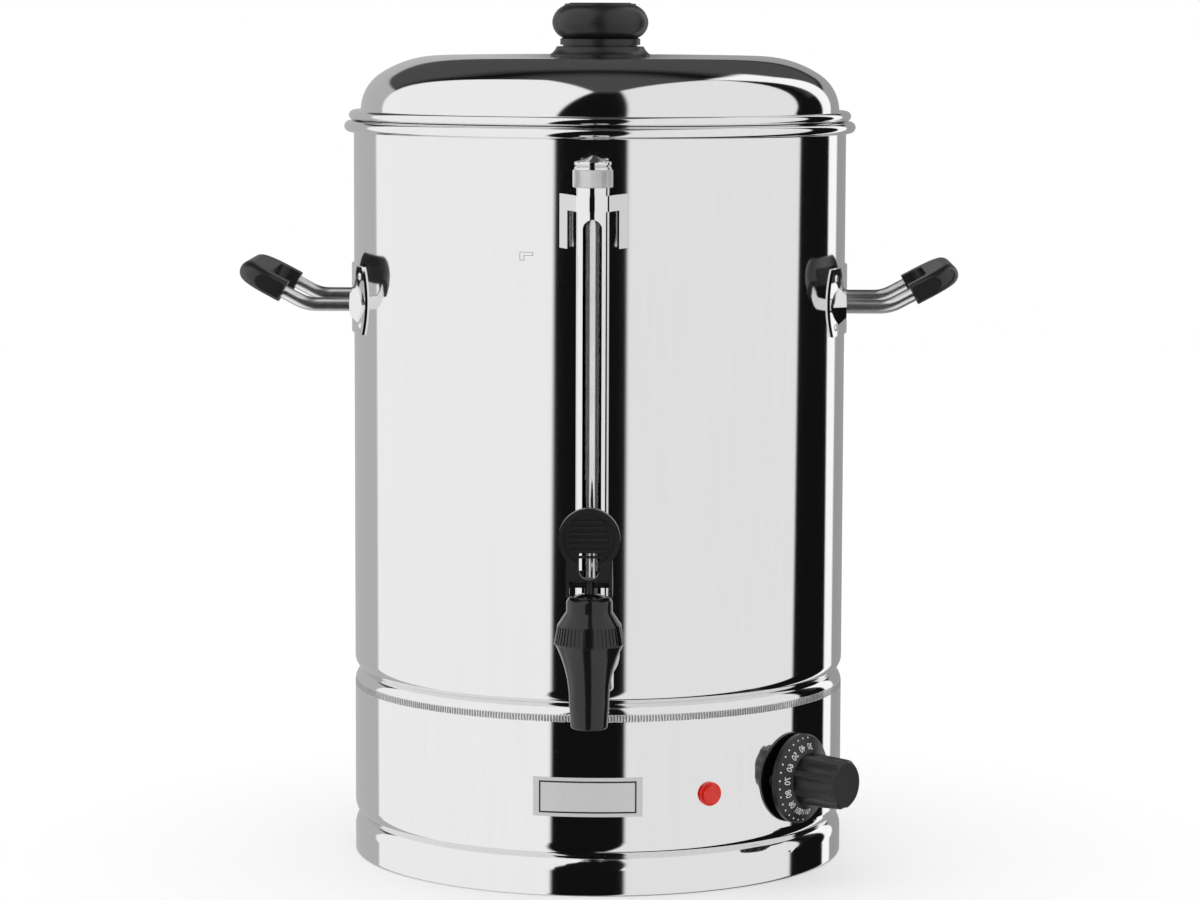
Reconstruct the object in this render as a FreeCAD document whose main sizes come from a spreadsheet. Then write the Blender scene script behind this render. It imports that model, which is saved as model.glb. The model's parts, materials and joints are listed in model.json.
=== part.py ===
import FreeCAD, Part
import math
import os
import Sketcher

os.makedirs("parts", exist_ok=True)
doc = FreeCAD.newDocument("water_urn")
sheet = doc.addObject("Spreadsheet::Sheet", "Sizes")

# Driving sizes in millimetres and degrees. The origin is the urn's axis at the foot plane,
# +Z is up, the tap looks towards -Y and the dial side is +X.
SIZES = {
    # pressed steel body
    "bodyRadius": 123.0,
    "sheetWall": 0.8,
    "rimTop": 368.3,
    "rimBead": 2.75,
    "hemRadius": 7.2,
    "hemDepth": 4.0,
    "hemTop": 99.7,
    "neckDrop": 5.0,
    "skirtDrop": 20.7,
    "floorDrop": 6.7,
    "floorFlange": 6.0,
    "shoulderRadius": 7.9,
    "housingHem": 8.7,
    "footDepth": 3.4,
    "footHeight": 19.2,
    "footShoulder": 8.0,
    "footLip": 6.0,
    "footCurl": 1.2,
    "plateHeight": 11.0,
    "plateWall": 1.0,
    "tabWidth": 9.0,
    "ventCount": 12,
    "ventInner": 58.0,
    "ventLength": 22.0,
    "ventWidth": 4.0,
    "baseScrewInset": 12.0,
    "baseScrewCount": 4,
    "baseScrewRadius": 2.0,
    "baseScrewHead": 3.8,
    "baseScrewHeadHeight": 2.4,
    "baseScrewLength": 8.0,
    # lid
    "lidGap": 0.3,
    "lidInset": 3.5,
    "lidBead": 2.45,
    "lidBeadReach": 2.4,
    "lidCrown": 53.8,
    "lidShoulder": 21.6,
    "lidBreak": 33.9,
    "lidSkirtDrop": 8.0,
    "lidSkirtClear": 1.8,
    "collarFoot": 25.0,
    "collarTop": 22.0,
    "collarHeight": 4.7,
    "neckRing": 20.0,
    "neckHeight": 3.5,
    "neckGroove": 0.8,
    "knobRadius": 24.0,
    "knobHeight": 17.0,
    "knobBelly": 7.6,
    "knobTop": 18.0,
    "capDisc": 15.5,
    "capDiscWall": 2.2,
    "capDiscProud": 0.4,
    "knobScrewRadius": 2.5,
    "knobScrewHead": 6.0,
    "knobScrewHeadHeight": 3.0,
    "knobScrewReach": 17.0,
    # sight gauge
    "gaugeStand": 20.0,
    "guardRadius": 7.7,
    "guardWall": 0.9,
    "guardTop": 348.0,
    "slotWidth": 9.0,
    "slotTopDrop": 21.6,
    "slotSill": 5.0,
    "guardSocket": 6.5,
    "glassLift": 1.0,
    "glassRadius": 5.0,
    "glassWall": 1.3,
    "glassDrop": 14.0,
    "sealHeight": 6.0,
    "capOverlap": 6.8,
    "knurlHeight": 8.4,
    "knurlWall": 1.75,
    "capRingHeight": 3.7,
    "capRingWall": 0.95,
    "capRingGroove": 0.7,
    "capCone": 2.8,
    "strapWall": 0.9,
    "strapDrop": 10.5,
    "strapBand": 7.5,
    "strapHeight": 25.6,
    "strapOpening": 11.3,
    "strapHalfWidth": 16.2,
    "strapReach": 9.5,
    "teeWall": 2.8,
    "teeRise": 16.0,
    "teeSink": 14.0,
    "sleeveWall": 2.0,
    # tap
    "tapStand": 60.0,
    "tapAxis": 118.0,
    "shankRadius": 8.0,
    "shankBore": 5.0,
    "shankInside": 14.0,
    "washerRadius": 13.0,
    "washerWall": 2.5,
    "nutFlats": 26.0,
    "nutWall": 6.0,
    "spoutDrop": 25.1,
    "spoutTip": 8.5,
    "spoutBore": 5.5,
    "spoutStraightRise": 11.1,
    "spoutStraightRadius": 9.3,
    "spoutRise": 14.2,
    "spoutTopRadius": 15.8,
    "spoutFlare": 60.0,
    "chamberRadius": 12.0,
    "seatDrop": 21.2,
    "seatWidth": 7.6,
    "ringBottom": 16.4,
    "ringTop": 14.75,
    "ringHeight": 9.3,
    "ringRibs": 48,
    "ribDepth": 0.35,
    "ribWidth": 0.9,
    "coneHeight": 6.1,
    "bonnetRadius": 10.7,
    "bonnetHeight": 6.9,
    "bonnetShoulder": 3.0,
    "domeRadius": 7.2,
    "domeRise": 1.6,
    "stemRadius": 2.4,
    "stemFlange": 7.0,
    "stemFlangeRise": 13.0,
    "stemFlangeWall": 2.0,
    "stemTop": 3.2,
    "seatCupRadius": 6.8,
    "seatCupHeight": 6.0,
    "seatCupGap": 0.1,
    "tapNeck": 9.6,
    "bonnetCavity": 9.0,
    "bonnetRoof": 4.5,
    "pivotRise": 5.5,
    "pivotRadius": 1.5,
    "runningFit": 0.05,
    "springRadius": 5.2,
    "springWire": 0.45,
    "springTurns": 7,
    # lever
    "leverPadRadius": 14.3,
    "leverPadRise": 22.2,
    "leverPadWall": 5.0,
    "leverPadDish": 12.0,
    "leverDishDepth": 1.0,
    "leverRidges": 7,
    "leverRidgePitch": 2.7,
    "leverNeck": 21.4,
    "leverWall": 1.5,
    "leverHeel": 5.0,
    "leverGap": 0.3,
    "leverBrow": 3.0,
    "leverCheek": 12.0,
    "leverBack": 6.0,
    "leverWindow": 9.4,
    "leverWindowHeight": 12.4,
    "leverWindowSill": 3.4,
    # side handles
    "handleHeight": 278.3,
    "legSpan": 72.0,
    "rodRadius": 3.4,
    "rodKnee": 21.0,
    "rodKneeRadius": 20.0,
    "rodCornerRadius": 14.0,
    "gripAngle": 28.0,
    "gripStart": 13.0,
    "gripLength": 25.0,
    "gripOverhang": 7.5,
    "gripArm": 14.0,
    "gripWall": 10.5,
    "gripCorner": 18.0,
    "gripInnerCorner": 6.0,
    "gripRound": 5.0,
    "gripRodInset": 8.0,
    "gripPanelDepth": 2.0,
    "gripPanelLength": 20.0,
    "gripPanelHeight": 7.4,
    "bracketWall": 1.2,
    "bracketHeight": 33.4,
    "bracketOverhang": 8.0,
    "bracketRise": 2.0,
    "bracketBow": 5.0,
    "bossHeight": 24.0,
    "bossWidth": 17.0,
    "bossTipHeight": 11.0,
    "bossTipWidth": 9.0,
    "bossReach": 3.8,
    "rivetRadius": 2.0,
    "rivetRise": 0.9,
    "rivetAngle": 19.0,
    "rivetRow": 12.0,
    # controls on the base
    "lampAngle": 27.2,
    "lampHeight": 48.2,
    "lampRim": 5.8,
    "lampRimWall": 1.6,
    "lampLens": 4.5,
    "lampLensRise": 3.2,
    "lampBody": 4.8,
    "lampBodyLength": 20.0,
    "lampTab": 6.0,
    "dialAngle": 53.0,
    "dialHeight": 49.7,
    "dialGap": 2.0,
    "dialRadius": 22.0,
    "dialSkirt": 6.5,
    "dialRim": 3.0,
    "dialHollow": 1.8,
    "dialGripBase": 13.2,
    "dialGripTip": 12.2,
    "dialGripLength": 22.5,
    "dialFlutes": 8,
    "dialFluteRadius": 6.0,
    "dialFluteOffset": 17.2,
    "dialShaft": 3.0,
    "dialShaftReach": 16.0,
    "dialScrewPitch": 28.0,
    "dialScrewRadius": 2.0,
    "dialScrewHead": 3.4,
    "thermoWidth": 34.0,
    "thermoDepth": 20.0,
    "thermoGap": 0.5,
    # inside the tank and the base
    "elementLoop": 72.0,
    "elementRise": 15.0,
    "elementRod": 3.25,
    "elementBend": 10.0,
    "elementGap": 20.0,
    "elementFoot": 78.0,
    "elementNutFlats": 15.0,
    "elementNutWall": 5.0,
    "cutoutRadius": 9.5,
    "cutoutHeight": 9.0,
    "cutoutOffset": 30.0,
    "bulbRadius": 3.0,
    "bulbLength": 70.0,
    "bulbOffset": 45.0,
    "bulbShift": 5.0,
    "tubeRadius": 0.9,
    "tubeSeat": 2.0,
    "tubeRun": 25.0,
    "tubeStand": 22.0,
    "tubeSag": 12.0,
    "tubeBend": 5.0,
    "tubeEntry": 8.0,
    "terminalLength": 46.0,
    "terminalWidth": 18.0,
    "terminalHeight": 15.0,
    "terminalOffset": 62.0,
    "glandHeight": 40.0,
    "glandFlats": 19.0,
    "glandFlange": 4.0,
    "glandDome": 9.0,
    "glandDomeRadius": 8.8,
    "glandThread": 8.0,
    "glandBore": 4.0,
    "glandTail": 12.0,
}
for row, (name, number) in enumerate(SIZES.items(), start=1):
    sheet.set("A%d" % row, name)
    sheet.set("B%d" % row, str(number))
    sheet.setAlias("B%d" % row, name)
doc.recompute()


class Size:
    # a number that remembers the sheet formula it comes from
    def __init__(self, value, formula):
        self.value = value
        self.formula = formula

    def __add__(self, other):
        return joinSizes(self, "+", other)

    def __radd__(self, other):
        return joinSizes(other, "+", self)

    def __sub__(self, other):
        return joinSizes(self, "-", other)

    def __rsub__(self, other):
        return joinSizes(other, "-", self)

    def __mul__(self, other):
        return joinSizes(self, "*", other)

    def __rmul__(self, other):
        return joinSizes(other, "*", self)

    def __truediv__(self, other):
        return joinSizes(self, "/", other)

    def __rtruediv__(self, other):
        return joinSizes(other, "/", self)

    def __neg__(self):
        return joinSizes(0, "-", self)


def asSize(item):
    if isinstance(item, Size):
        return item
    return Size(float(item), repr(float(item)))


def joinSizes(left, sign, right):
    left, right = asSize(left), asSize(right)
    results = {
        "+": lambda a, b: a + b,
        "-": lambda a, b: a - b,
        "*": lambda a, b: a * b,
        "/": lambda a, b: a / b,
    }
    value = results[sign](left.value, right.value)
    return Size(value, "(%s %s %s)" % (left.formula, sign, right.formula))


def root(item):
    return Size(math.sqrt(item.value), "sqrt(%s)" % item.formula)


def sine(angle):
    return Size(math.sin(math.radians(angle.value)), "sin(%s)" % angle.formula)


def cosine(angle):
    return Size(math.cos(math.radians(angle.value)), "cos(%s)" % angle.formula)


def arcDrop(radius, across):
    # how far an arc of this radius stands from its centre line at a distance across it
    return root(radius * radius - across * across)


def size(name):
    return Size(float(sheet.get(name)), "Sizes." + name)


def bind(item, prop, amount):
    item.setExpression(prop, asSize(amount).formula)


# Sizes that several pieces share, worked out from the driving sizes.
bodyRadius = size("bodyRadius")
sheetWall = size("sheetWall")
innerRadius = bodyRadius - sheetWall
neckRadius = bodyRadius - size("hemDepth")
hemAcross = size("hemRadius") - size("hemDepth")
notchHeight = size("hemTop") - arcDrop(size("hemRadius"), hemAcross)
shoulderAcross = size("shoulderRadius") - size("hemDepth")
shoulderBase = notchHeight - arcDrop(size("shoulderRadius"), shoulderAcross)
footNeck = bodyRadius - size("footDepth")
floorTop = size("hemTop") - size("floorDrop")
skirtBottom = size("hemTop") - size("skirtDrop")
baseScrewCircle = bodyRadius - size("baseScrewInset")
gaugeAxis = bodyRadius + size("gaugeStand")
tapAxisOut = bodyRadius + size("tapStand")
lidSeat = size("rimTop") + size("lidGap")
lidBase = lidSeat + size("lidBead") * 2
lidWallRadius = bodyRadius - size("lidInset")
lidTop = lidBase + size("lidCrown") - (size("lidCrown") - size("lidShoulder")) * cosine(size("lidBreak"))
slotTop = size("guardTop") - size("slotTopDrop")
capBottom = size("guardTop") - size("capOverlap")
glassTop = size("guardTop") - size("glassDrop")
strapTop = size("guardTop") - size("strapDrop")
knurlRadius = size("guardRadius") + size("knurlWall")
capRingRadius = size("guardRadius") + size("capRingWall")
teeSocket = size("guardRadius") + size("teeWall")
teeSleeve = size("shankRadius") + size("sleeveWall")
teeTop = size("tapAxis") + size("teeRise")
teeBottom = size("tapAxis") - size("teeSink")
guardFoot = teeTop - size("guardSocket")
slotBottom = teeTop + size("slotSill")
spoutBottom = size("tapAxis") - size("spoutDrop")
spoutTop = size("tapAxis") + size("spoutRise")
spoutStraight = spoutBottom + size("spoutStraightRise")
seatHeight = spoutTop - size("seatDrop")
stemFlangeHeight = seatHeight + size("stemFlangeRise")
ringTopHeight = spoutTop + size("ringHeight")
collarBase = ringTopHeight + size("coneHeight")
bonnetTop = collarBase + size("bonnetHeight")
pivotHeight = bonnetTop + size("pivotRise")
leverPadHeight = pivotHeight + size("leverPadRise")
elementHeight = floorTop + size("elementRise")
gripHalfWidth = size("legSpan") / 2 + size("gripOverhang")
bracketHalf = size("legSpan") / 2 + size("bracketOverhang")
handleKnee = bodyRadius + size("rodKnee")
thermoGap = size("thermoGap")


def startBody(label):
    body = doc.addObject("PartDesign::Body", label)
    body.Label = label
    return body


def addSketch(body, name, role, offset=None):
    # a sketch on one of the body's own origin planes, moved along the plane's normal
    sketch = body.newObject("Sketcher::SketchObject", name)
    plane = [item for item in body.Origin.OriginFeatures if item.Role == role][0]
    sketch.AttachmentSupport = [(plane, "")]
    sketch.MapMode = "FlatFace"
    if offset is not None:
        sketch.AttachmentOffset = FreeCAD.Placement(
            FreeCAD.Vector(0, 0, asSize(offset).value), FreeCAD.Rotation()
        )
        bind(sketch, "AttachmentOffset.Base.z", offset)
    return sketch


def holdPoint(sketch, geometry, end, place):
    # ties one end of a sketch line or arc to its two coordinates
    for kind, amount in (("DistanceX", place[0]), ("DistanceY", place[1])):
        amount = asSize(amount)
        if amount.formula in ("0.0", "(0.0 - 0.0)"):
            axis = -2 if kind == "DistanceX" else -1
            sketch.addConstraint(Sketcher.Constraint("PointOnObject", geometry, end, axis))
        else:
            index = sketch.addConstraint(Sketcher.Constraint(kind, -1, 1, geometry, end, amount.value))
            bind(sketch, "Constraints[%d]" % index, amount)


def samePlace(one, other):
    return all(abs(asSize(one[axis]).value - asSize(other[axis]).value) < 1e-6 for axis in (0, 1))


def drawOutline(sketch, places):
    # Each place is (x, y) at the end of a straight line, or (x, y, radius, side) at the end of
    # an arc, whose centre lies left (+1) or right (-1) of the way to that place. An outline that
    # closes with an arc names its first place again, with that arc's radius and side.
    if samePlace(places[0], places[-1]):
        places = [places[-1]] + list(places[1:-1])
    count = len(places)
    edges = []
    for index in range(count):
        here = places[index]
        there = places[(index + 1) % count]
        first = FreeCAD.Vector(asSize(here[0]).value, asSize(here[1]).value, 0)
        last = FreeCAD.Vector(asSize(there[0]).value, asSize(there[1]).value, 0)
        if len(there) == 2:
            edges.append((sketch.addGeometry(Part.LineSegment(first, last), False), 1, 2))
            continue
        radius = asSize(there[2])
        half = (last - first) * 0.5
        rise = math.sqrt(max(radius.value**2 - half.Length**2, 0.0))
        left = FreeCAD.Vector(-half.y, half.x, 0).normalize()
        centre = first + half + left * (rise * there[3])
        circle = Part.Circle(centre, FreeCAD.Vector(0, 0, 1), radius.value)
        angles = [math.atan2(end.y - centre.y, end.x - centre.x) for end in (first, last)]
        if there[3] > 0:
            arc = Part.ArcOfCircle(circle, angles[0], angles[1])
            ends = (1, 2)
        else:
            arc = Part.ArcOfCircle(circle, angles[1], angles[0])
            ends = (2, 1)
        geometry = sketch.addGeometry(arc, False)
        edges.append((geometry,) + ends)
        mark = sketch.addConstraint(Sketcher.Constraint("Radius", geometry, radius.value))
        bind(sketch, "Constraints[%d]" % mark, radius)
    for index, (geometry, start, end) in enumerate(edges):
        holdPoint(sketch, geometry, start, places[index])
        follower = edges[(index + 1) % len(edges)]
        sketch.addConstraint(Sketcher.Constraint("Coincident", geometry, end, follower[0], follower[1]))
    return sketch


def drawCircle(sketch, across, up, radius):
    centre = FreeCAD.Vector(asSize(across).value, asSize(up).value, 0)
    circle = Part.Circle(centre, FreeCAD.Vector(0, 0, 1), asSize(radius).value)
    geometry = sketch.addGeometry(circle, False)
    holdPoint(sketch, geometry, 3, (across, up))
    mark = sketch.addConstraint(Sketcher.Constraint("Radius", geometry, asSize(radius).value))
    bind(sketch, "Constraints[%d]" % mark, radius)
    return sketch


def hexagon(flats):
    # corner places of a hexagon with two flats square to the sketch's second axis
    reach = flats / root(asSize(3))
    half = flats / 2
    return [
        (reach, 0),
        (reach / 2, half),
        (-(reach / 2), half),
        (-reach, 0),
        (-(reach / 2), -half),
        (reach / 2, -half),
    ]


def box(left, bottom, right, top):
    return [(left, bottom), (right, bottom), (right, top), (left, top)]


def slotPlaces(left, bottom, right, top):
    # an upright slot with round ends, each end drawn as two quarter arcs
    half = (asSize(right) - left) / 2
    middle = (asSize(right) + left) / 2
    return [
        (left, asSize(top) - half),
        (left, asSize(bottom) + half),
        (middle, bottom, half, 1),
        (right, asSize(bottom) + half, half, 1),
        (right, asSize(top) - half),
        (middle, top, half, 1),
        (left, asSize(top) - half, half, 1),
    ]


def pad(body, sketch, length, both=False, back=False):
    feature = body.newObject("PartDesign::Pad", sketch.Name + "Pad")
    feature.Profile = sketch
    feature.Length = asSize(length).value
    bind(feature, "Length", length)
    feature.Midplane = both
    feature.Reversed = back
    return feature


def pocket(body, sketch, length, both=False, back=False):
    feature = body.newObject("PartDesign::Pocket", sketch.Name + "Pocket")
    feature.Profile = sketch
    feature.Length = asSize(length).value
    bind(feature, "Length", length)
    feature.Midplane = both
    feature.Reversed = back
    return feature


def turn(body, sketch, cut=False):
    kind = "PartDesign::Groove" if cut else "PartDesign::Revolution"
    feature = body.newObject(kind, sketch.Name + "Turn")
    feature.Profile = sketch
    feature.ReferenceAxis = (sketch, ["V_Axis"])
    feature.Angle = 360
    return feature


def ringOf(body, feature, axisRole, count):
    # repeats a feature round one of the body's own axes
    axis = [item for item in body.Origin.OriginFeatures if item.Role == axisRole][0]
    pattern = body.newObject("PartDesign::PolarPattern", feature.Name + "Ring")
    pattern.Originals = [feature]
    pattern.Axis = (axis, [""])
    pattern.Angle = 360
    pattern.Occurrences = int(asSize(count).value)
    bind(pattern, "Occurrences", count)
    body.Tip = pattern
    return pattern


def put(item, x=0, y=0, z=0, angle=0, axis=(0, 0, 1)):
    item.Placement = FreeCAD.Placement(
        FreeCAD.Vector(asSize(x).value, asSize(y).value, asSize(z).value),
        FreeCAD.Rotation(FreeCAD.Vector(*axis), asSize(angle).value),
    )
    for prop, amount in (("x", x), ("y", y), ("z", z)):
        bind(item, "Placement.Base." + prop, amount)
    if isinstance(angle, Size):
        bind(item, "Placement.Rotation.Angle", angle)
    return item


def turnedPiece(label, places, x=0, y=0, z=0):
    # a piece turned about its own upright axis, from its half section
    body = startBody(label)
    turn(body, drawOutline(addSketch(body, label + "Section", "XZ_Plane"), places))
    return put(body, x, y, z)


def outwardPiece(label, places, angle, height):
    # a piece turned about an axis that points out of the body at this angle from -Y
    body = startBody(label)
    turn(body, drawOutline(addSketch(body, label + "Section", "XY_Plane"), places))
    return put(body, 0, 0, height, angle)


def vesselShell():
    # drawn tank wall with a rolled rim, and a hem that turns in to the neck under the groove
    bead = size("rimBead")
    rimCentre = size("rimTop") - bead
    beadAxis = innerRadius + bead
    hem = size("hemRadius")
    hemAxis = bodyRadius - hem
    neckInner = neckRadius - sheetWall
    innerHem = hem - sheetWall
    innerNotch = size("hemTop") - arcDrop(innerHem, neckInner - hemAxis)
    flareTop = notchHeight - size("neckDrop")
    flareBottom = flareTop - (innerRadius - neckRadius)
    skirtInner = innerRadius - sheetWall
    shell = turnedPiece("vessel_shell", [
        (innerRadius, size("hemTop")),
        (innerRadius, rimCentre),
        (beadAxis, size("rimTop"), bead, -1),
        (beadAxis + bead, rimCentre, bead, -1),
        (beadAxis, rimCentre - bead, bead, -1),
        (bodyRadius, rimCentre - arcDrop(bead, beadAxis - bodyRadius), bead, -1),
        (bodyRadius, size("hemTop")),
        (neckRadius, notchHeight, hem, -1),
        (neckRadius, flareTop),
        (innerRadius, flareBottom),
        (innerRadius, skirtBottom),
        (skirtInner, skirtBottom),
        (skirtInner, flareBottom + sheetWall / 2),
        (neckInner, flareTop + sheetWall / 2),
        (neckInner, innerNotch),
        (innerRadius, size("hemTop"), innerHem, 1),
    ])
    # the tap's shank passes through low in front
    wallHole(shell, "shankHole", 0, size("tapAxis"), size("shankRadius") + size("runningFit"))
    return shell


def vesselFloor():
    # pressed floor of the tank, its flange turned down inside the neck
    edge = neckRadius - sheetWall
    top = floorTop
    body = startBody("vessel_floor")
    section = addSketch(body, "floorSection", "XZ_Plane")
    turn(body, drawOutline(section, [
        (0, top - sheetWall),
        (edge - sheetWall, top - sheetWall),
        (edge - sheetWall, top - size("floorFlange")),
        (edge, top - size("floorFlange")),
        (edge, top),
        (0, top),
    ]))
    holes = addSketch(body, "elementHoles", "XY_Plane", top)
    for side in (-1, 1):
        drawCircle(holes, elementLegX * side, elementLegY, size("elementRod") + size("runningFit"))
    pocket(body, holes, sheetWall * 2, both=True)
    return put(body)


def baseHousing():
    # skirt round the heater, with a rolled shoulder above and a hem and tabs below
    shoulder = size("shoulderRadius")
    shoulderAxis = bodyRadius - shoulder
    innerShoulder = shoulder - sheetWall
    hem = size("housingHem")
    hemAxis = bodyRadius - hem
    hemHigh = size("footHeight") + arcDrop(hem, footNeck - hemAxis)
    innerHem = hem - sheetWall
    neckInner = footNeck - sheetWall
    tabTop = size("plateHeight") + size("plateWall") + sheetWall
    tabUnder = size("plateHeight") + size("plateWall")
    body = startBody("base_housing")
    section = addSketch(body, "housingSection", "XZ_Plane")
    turn(body, drawOutline(section, [
        (bodyRadius, hemHigh),
        (bodyRadius, shoulderBase),
        (neckRadius, notchHeight, shoulder, 1),
        (neckRadius, shoulderBase + arcDrop(innerShoulder, neckRadius - shoulderAxis)),
        (innerRadius, shoulderBase, innerShoulder, -1),
        (innerRadius, hemHigh),
        (neckInner, hemHigh - arcDrop(innerHem, neckInner - hemAxis), innerHem, -1),
        (neckInner, tabTop),
        (footNeck - size("tabWidth"), tabTop),
        (footNeck - size("tabWidth"), tabUnder),
        (footNeck, tabUnder),
        (footNeck, size("footHeight")),
        (bodyRadius, hemHigh, hem, 1),
    ]))
    for name, angle, height, radius in (
        ("lampHole", size("lampAngle"), size("lampHeight"), size("lampBody") + size("runningFit")),
        ("shaftHole", size("dialAngle"), size("dialHeight"), size("dialShaft") + 1),
    ):
        wallHole(body, name, angle, height, radius)
    wallHole(body, "glandHole", 180, size("glandHeight"), size("glandThread") + size("runningFit"))
    for side in (-1, 1):
        wallHole(body, "thermoHole", size("dialAngle"), size("dialHeight"), size("dialScrewRadius"),
                 size("dialScrewPitch") / 2 * side)
    screwHoles = addSketch(body, "tabScrewHoles", "XY_Plane", tabUnder)
    drawCircle(screwHoles, baseScrewCircle, 0, size("baseScrewRadius"))
    ringOf(body, pocket(body, screwHoles, sheetWall * 3, both=True), "Z_Axis", size("baseScrewCount"))
    return put(body)


def wallHole(body, name, angle, height, radius, across=0):
    # a round hole through the wall, square to it, at this angle from -Y
    hole = addSketch(body, name, "XZ_Plane")
    drawCircle(hole, across, height, radius)
    cut = pocket(body, hole, bodyRadius * 1.2, back=True)
    turnSketch(hole, angle)
    return cut


def turnSketch(sketch, angle):
    # swings a sketch on the XZ plane about the upright axis
    sketch.AttachmentOffset = FreeCAD.Placement(
        FreeCAD.Vector(0, 0, 0), FreeCAD.Rotation(FreeCAD.Vector(0, 1, 0), asSize(angle).value)
    )
    if isinstance(angle, Size):
        bind(sketch, "AttachmentOffset.Rotation.Angle", angle)


def footRing():
    # pressed foot with a rolled shoulder, standing on its turned-in lip
    shoulder = size("footShoulder")
    axis = bodyRadius - shoulder
    reach = arcDrop(shoulder, footNeck - axis)
    base = size("footHeight") - reach
    inner = shoulder - sheetWall
    curl = size("footCurl")
    return turnedPiece("foot_ring", [
        (bodyRadius, curl),
        (bodyRadius, base),
        (footNeck, size("footHeight"), shoulder, 1),
        (footNeck, base + arcDrop(inner, footNeck - axis)),
        (innerRadius, base, inner, -1),
        (innerRadius, curl),
        (bodyRadius - curl, sheetWall, curl - sheetWall, -1),
        (bodyRadius - size("footLip"), sheetWall),
        (bodyRadius - size("footLip"), 0),
        (bodyRadius - curl, 0),
        (bodyRadius, curl, curl, 1),
    ])


def basePlate():
    # closes the base from below, with vent slots round it
    body = startBody("base_plate")
    disc = addSketch(body, "plateDisc", "XY_Plane", size("plateHeight"))
    drawCircle(disc, 0, 0, footNeck - sheetWall)
    pad(body, disc, size("plateWall"))
    vent = addSketch(body, "vent", "XY_Plane", size("plateHeight"))
    half = size("ventWidth") / 2
    inner = size("ventInner")
    drawOutline(vent, slotPlaces(-half, inner, half, inner + size("ventLength")))
    ringOf(body, pocket(body, vent, size("plateWall") * 3, both=True), "Z_Axis", size("ventCount"))
    holes = addSketch(body, "plateScrewHoles", "XY_Plane", size("plateHeight"))
    drawCircle(holes, baseScrewCircle, 0, size("baseScrewRadius"))
    ringOf(body, pocket(body, holes, size("plateWall") * 3, both=True), "Z_Axis", size("baseScrewCount"))
    return put(body)


def baseScrews():
    # pan head screws that hold the plate to the housing's tabs
    head = size("baseScrewHead")
    crown = -size("baseScrewHeadHeight")
    thread = size("baseScrewRadius")
    reach = size("baseScrewLength")
    return screwCircle("base_screws", size("baseScrewCount"), baseScrewCircle, [
        (0, crown),
        (head - 1, crown),
        (head, crown + 1, 1, 1),
        (head, 0),
        (thread, 0),
        (thread, reach),
        (0, reach),
    ], size("plateHeight"))


def screwCircle(label, count, circle, places, z=0):
    # the same turned fastener at equal steps round the upright axis, gathered in one node
    pieces = []
    for index in range(int(count.value)):
        body = startBody("%s_%d" % (label, index + 1))
        turn(body, drawOutline(addSketch(body, label + "Section", "XZ_Plane"), places))
        spread = 360.0 * index / count.value
        turnAbout = Size(spread, "(%s * 360 / %s)" % (float(index), count.formula))
        put(body, circle * cosine(turnAbout), circle * sine(turnAbout), z)
        pieces.append(body)
    return gather(label, pieces)


def gather(label, pieces):
    group = doc.addObject("Part::Compound", label)
    group.Label = label
    group.Links = pieces
    return group


def lidShell():
    # pressed dome with a beaded edge that rests on the rim and a skirt that centres it
    crown = size("lidCrown")
    shoulder = size("lidShoulder")
    turnIn = size("lidBreak")
    bead = size("lidBead")
    flat = lidWallRadius - shoulder - (crown - shoulder) * sine(turnIn)
    breakX = flat + crown * sine(turnIn)
    breakZ = lidTop - crown + crown * cosine(turnIn)
    innerCrown = crown - sheetWall
    innerShoulder = shoulder - sheetWall
    innerX = flat + innerCrown * sine(turnIn)
    innerZ = lidTop - crown + innerCrown * cosine(turnIn)
    beadAxis = bodyRadius + size("lidBeadReach") - bead
    skirtOuter = innerRadius - size("lidSkirtClear")
    skirtInner = lidWallRadius - sheetWall
    skirtEnd = lidSeat - size("lidSkirtDrop")
    hole = size("knobScrewRadius") + size("runningFit")
    return turnedPiece("lid_shell", [
        (hole, lidTop),
        (flat, lidTop),
        (breakX, breakZ, crown, -1),
        (lidWallRadius, lidBase, shoulder, -1),
        (beadAxis, lidBase),
        (beadAxis + bead, lidSeat + bead, bead, -1),
        (beadAxis, lidSeat, bead, -1),
        (skirtOuter, lidSeat),
        (skirtOuter, skirtEnd),
        (skirtInner, skirtEnd),
        (skirtInner, lidBase),
        (innerX, innerZ, innerShoulder, 1),
        (flat, lidTop - sheetWall, innerCrown, 1),
        (hole, lidTop - sheetWall),
    ])


def knobCollar():
    # flared foot between the lid and the knob
    hole = size("knobScrewRadius") + size("runningFit")
    foot = size("collarFoot")
    top = size("collarTop")
    high = size("collarHeight")
    return turnedPiece("knob_collar", [
        (hole, 0),
        (foot, 0),
        (foot, 0.8),
        (top, high - 0.6, high * 1.6, -1),
        (top - 0.6, high, 0.6, 1),
        (hole, high),
    ], z=lidTop)


def lidKnob():
    # heatproof knob: neck ring, swelling belly and a shallow seat for the cap disc
    hole = size("knobScrewRadius")
    ring = size("neckRing")
    groove = size("neckGroove")
    neck = groove + size("neckHeight")
    belly = size("knobRadius")
    high = neck + size("knobHeight")
    middle = neck + size("knobBelly")
    seat = high - size("capDiscWall")
    disc = size("capDisc") + size("runningFit")
    return turnedPiece("lid_knob", [
        (hole, 0),
        (ring - 1.4, 0),
        (ring - 1.4, groove),
        (ring, groove),
        (ring, neck - 0.6),
        (ring - 1.2, neck),
        (belly, middle, 8.4, 1),
        (belly, middle + 0.5),
        (size("knobTop"), high - 1, 9.6, 1),
        (size("knobTop") - 1, high, 1, 1),
        (disc, high),
        (disc, seat),
        (hole, seat),
    ], z=lidTop + size("collarHeight"))


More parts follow.
